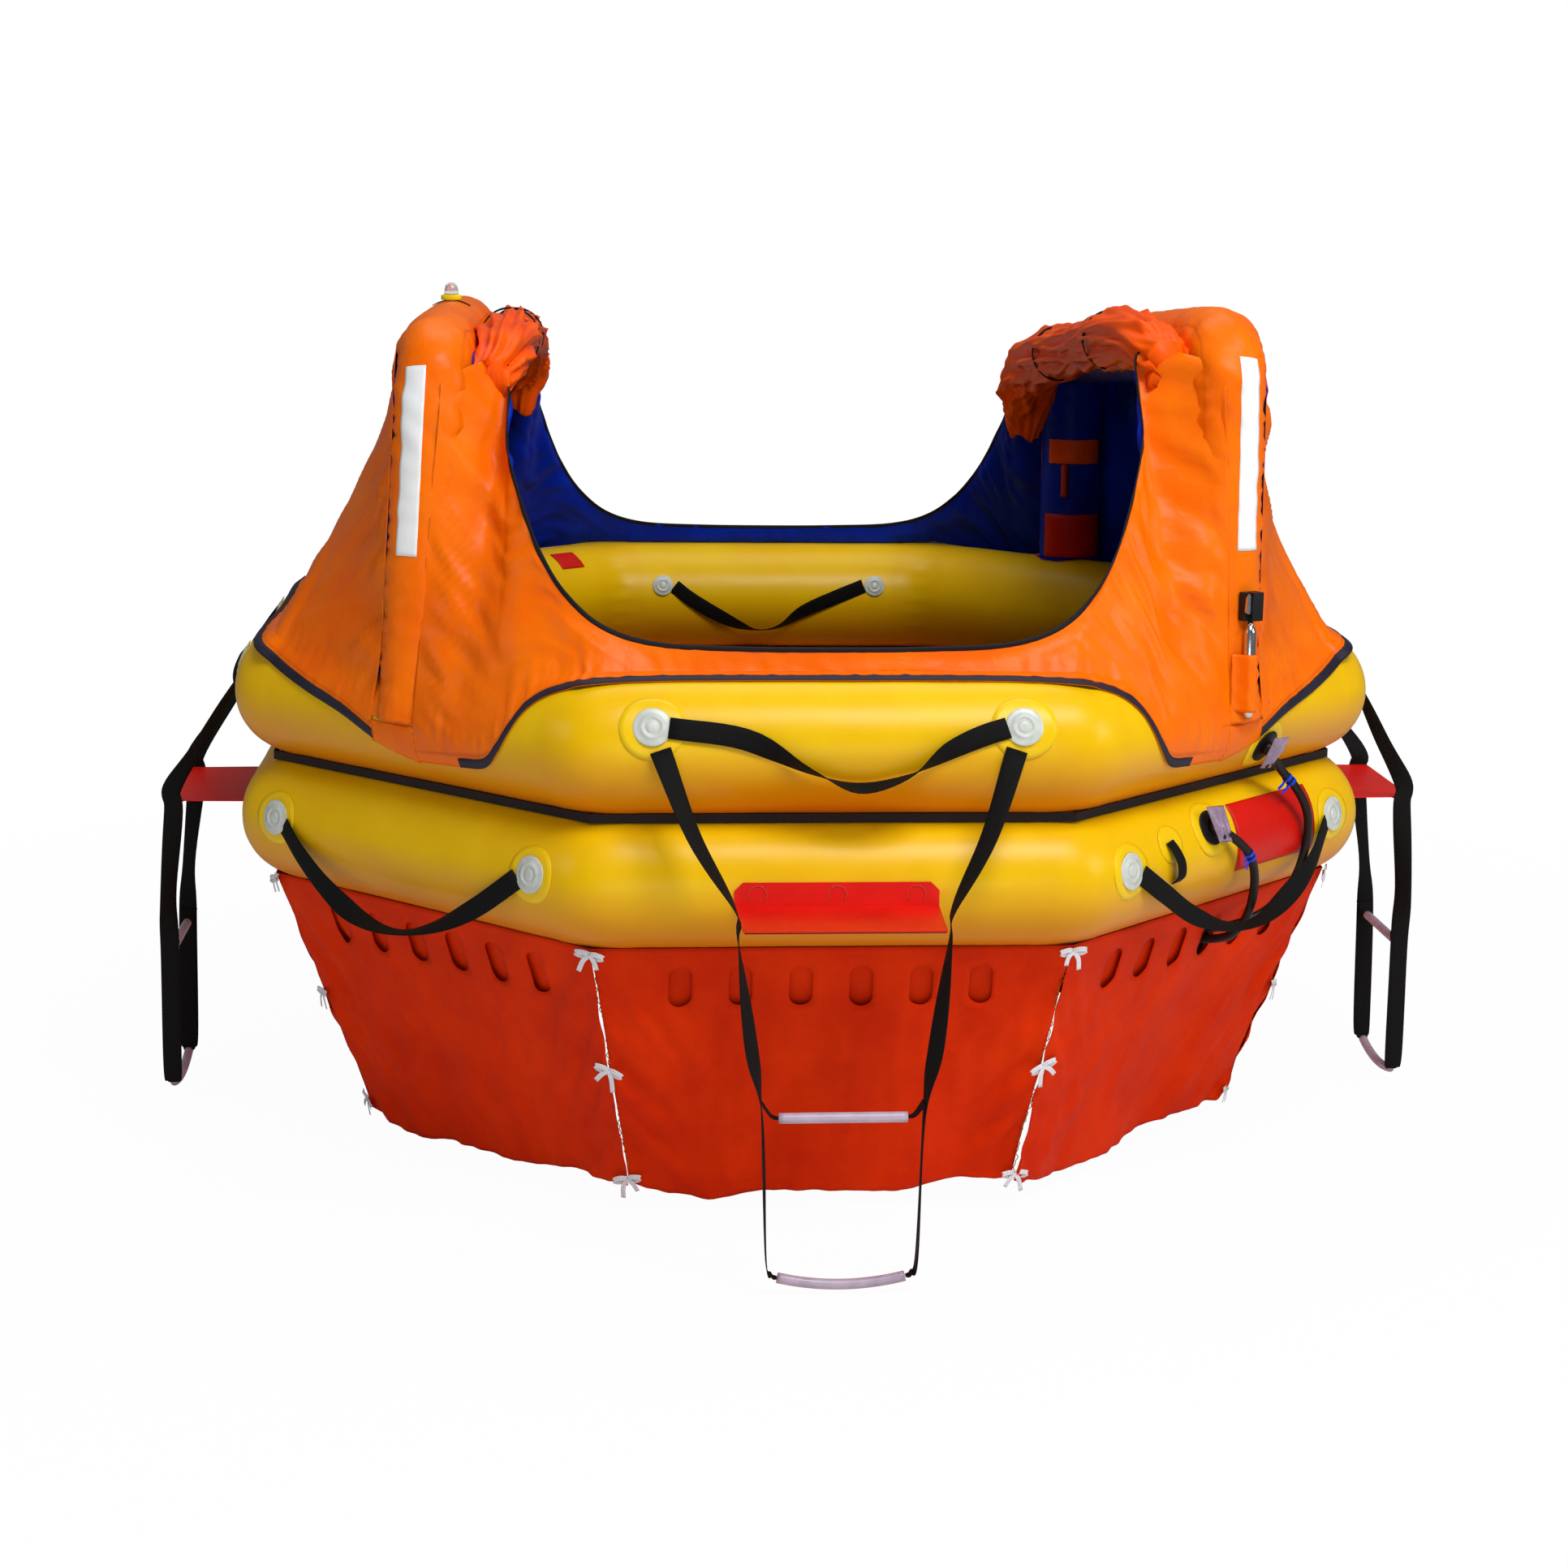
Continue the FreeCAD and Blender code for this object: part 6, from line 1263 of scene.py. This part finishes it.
tree.links.new(wear.outputs[0], shader.inputs["Roughness"])
keep_cad("inflator_body", fitting_black)
keep_cad("inflator_lever", chrome)
keep_cad("inflator_pin", chrome)
leg = arch_axis("right")
facing = unit(np.array([0.45, -0.89, 0]))
across = np.cross((0, 0, 1), facing)


def by_leg(along, out, z):
    """A point beside the right front leg, at a height."""
    centre = leg[1] + (leg[2] - leg[1]) * ((z - leg[1][2]) / (leg[2][2] - leg[1][2]))
    return np.array([centre[0], centre[1], z]) + across * along + facing * out


CHARGE = [(0.0, 0.006), (0.009, 0.006), (0.012, 0.0075), (0.018, 0.0115), (0.026, 0.0135), (0.120, 0.0135),
          (0.196, 0.0135),
          (0.204, 0.0125), (0.211, 0.0095), (0.216, 0.004)]
charge_out = ARCH_R + 0.0003 + 0.015
rows = [[by_leg(0, charge_out, 0.6737 - drop) + (across * math.cos(t) + facing * math.sin(t)) * radius
         for t in 2 * np.pi * np.arange(32) / 32] for drop, radius in CHARGE]
part_of_raft(grid_piece("gas_cartridge", np.array(rows), chrome, wrap=True, cap=True), "chrome_steel",
             "inflator_cartridge")
bulge = np.array([(-0.034, 0.0795), (-0.024, 0.086), (-0.0165, 0.098), (-0.010, 0.1115), (0, 0.1145),
                  (0.010, 0.1115), (0.0165, 0.098),
                  (0.024, 0.086), (0.034, 0.0795)])
rows = []
for k, z in enumerate(np.linspace(0.473, 0.600, 15)):
    rows.append([by_leg(a, o + 0.0012 * math.sin(k * 1.3 + a * 200), z) for a, o in spline(bulge, 3)])
pocket = grid_piece("cartridge_pocket", np.array(rows), canopy_orange)
cloth = pocket.modifiers.new("cloth", "SOLIDIFY")
cloth.thickness, cloth.offset = 0.0012, 0
part_of_raft(pocket, "canopy_fabric", "inflator_pocket")

# ---------------------------------------------------------------------------------------------
# Sea light on top of the left arch: a yellow clip on a black strap over a white patch, with a
# clear lens.
# ---------------------------------------------------------------------------------------------
left = arch_axis("left")
crest = (left[4] + left[5]) / 2
over_arch = [crest + np.array([math.cos(t), 0, math.sin(t)]) * (ARCH_R + 0.0022) for t in np.radians(np.linspace(58, 122, 9))]
part_of_raft(strap("light_strap", over_arch, [np.array([0, 1.0, 0])] * 9, 0.030, THICK, strap_black, 3),
             "black_webbing", "sea_light_strap")
clip_yellow = coated_cloth("moulded_abs_yellow", "#F0DC1E", "#E4CC14", 0.35, 2, 0.05)
lens_clear = bpy.data.materials.new("moulded_acrylic_clear")
lens_clear.use_nodes = True
shader = lens_clear.node_tree.nodes["Principled BSDF"]
shader.inputs["IOR"].default_value = 1.49
shader.inputs["Transmission Weight"].default_value = 0.7
shader.inputs["Roughness"].default_value = 0.08
ridge = add(lens_clear.node_tree, "TexNoise", {"Scale": 80.0})
pale = add(lens_clear.node_tree, "Mix", {0: ridge.outputs["Fac"], 6: linear("#D8DCE0"),
                                         7: linear("#F6F8FA")}, data_type="RGBA")
lens_clear.node_tree.links.new(pale.outputs[2], shader.inputs["Base Color"])
foot_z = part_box("sea_light_base")[0].z
x_axis, y_axis = np.array([1.0, 0, 0]), np.array([0, 1.0, 0])
CLIP = [(0.0005, 0.0138), (0.018, 0.0138), (0.0195, 0.0120), (0.0235, 0.0115), (0.0248, 0.0095),
        (0.0250, 0.0005), (0.0246, 0.0)]
part_of_raft(turned("light_clip", CLIP, np.array([crest[0], crest[1], foot_z]), x_axis, y_axis, clip_yellow,
                    40, 0.68), "yellow_plastic", "sea_light_base")
LENS = [(0.0005, 0.0262), (0.006, 0.0256), (0.011, 0.0232), (0.0140, 0.0190), (0.0160, 0.0120),
        (0.0168, 0.0060), (0.0170, 0.0)]
part_of_raft(turned("light_lens", LENS, np.array([crest[0], crest[1], foot_z + 0.0143]), x_axis, y_axis,
                    lens_clear, 40), "lens_plastic", "sea_light_lens")

# ---------------------------------------------------------------------------------------------
# Labels, pocket strip and safety knife: bare red labels of coated film on the tubes and the right
# back leg, and a sewn strip there that holds a buoyant knife by its handle.
# ---------------------------------------------------------------------------------------------
label_red = coated_cloth("label_film_red", "#D81606", "#C41004", 0.38, 3, 0.05)


def tube_label(name, facet, first, last, low, high, upper, node):
    rows = []
    for a in np.linspace(first, last, 24):
        rows.append([on_tube(facet, a, turn, 0.0010, upper) for turn in np.linspace(low, high, 20)])
    piece = grid_piece(name, np.array(rows), label_red)
    film = piece.modifiers.new("film", "SOLIDIFY")
    film.thickness, film.offset = 0.0006, 0
    part_of_raft(piece, "label_film", node)


tube_label("label_on_side", 1, 0.002, 0.328, -18, 42, False, "side_label")
tube_label("label_inside", 5, -0.322, -0.238, 113, 137, True, "inner_label")


def round_leg(z, half_angle, count, gap):
    """Points round the cabin side of the right back leg at one height."""
    low, high = leg[-1], leg[-2]
    centre = low + (high - low) * ((z - low[2]) / (high[2] - low[2]))
    return [np.array([centre[0], centre[1], z]) + np.array([math.cos(t), math.sin(t), 0]) * (ARCH_R + gap)
            for t in np.radians(np.linspace(-90 - half_angle, -90 + half_angle, count))]


for name, node, low, high, spread, finish, slot in (
        ("label_on_leg", "leg_label", 0.597, 0.716, 62, label_red, "label_film"),
        ("knife_strip", "knife_pocket", 0.856, 0.922, 54, roll_orange, "canopy_fabric")):
    rows = [round_leg(z, spread, 17, 0.0028) for z in np.linspace(low, high, 9)]
    piece = grid_piece(name, np.array(rows), finish)
    film = piece.modifiers.new("film", "SOLIDIFY")
    film.thickness, film.offset = 0.0010, 0
    part_of_raft(piece, slot, node)
knife_red = coated_cloth("moulded_nylon_orange_red", "#D8400C", "#C43208", 0.35, 2, 0.05)
rows = []
for drop, radius in ((0, 0.005), (0.003, 0.0085), (0.010, 0.0098), (0.030, 0.0085), (0.050, 0.0092),
                     (0.070, 0.0088), (0.084, 0.0095),
                     (0.088, 0.0075), (0.090, 0.003)):
    spot = round_leg(0.855 - drop, 20, 3, 0.0103)[0]
    rows.append([spot + np.array([math.cos(t), math.sin(t),
                                  0]) * radius for t in 2 * np.pi * np.arange(20) / 20])
part_of_raft(grid_piece("knife_handle", np.array(rows), knife_red, wrap=True, cap=True), "knife_handle",
             "safety_knife")
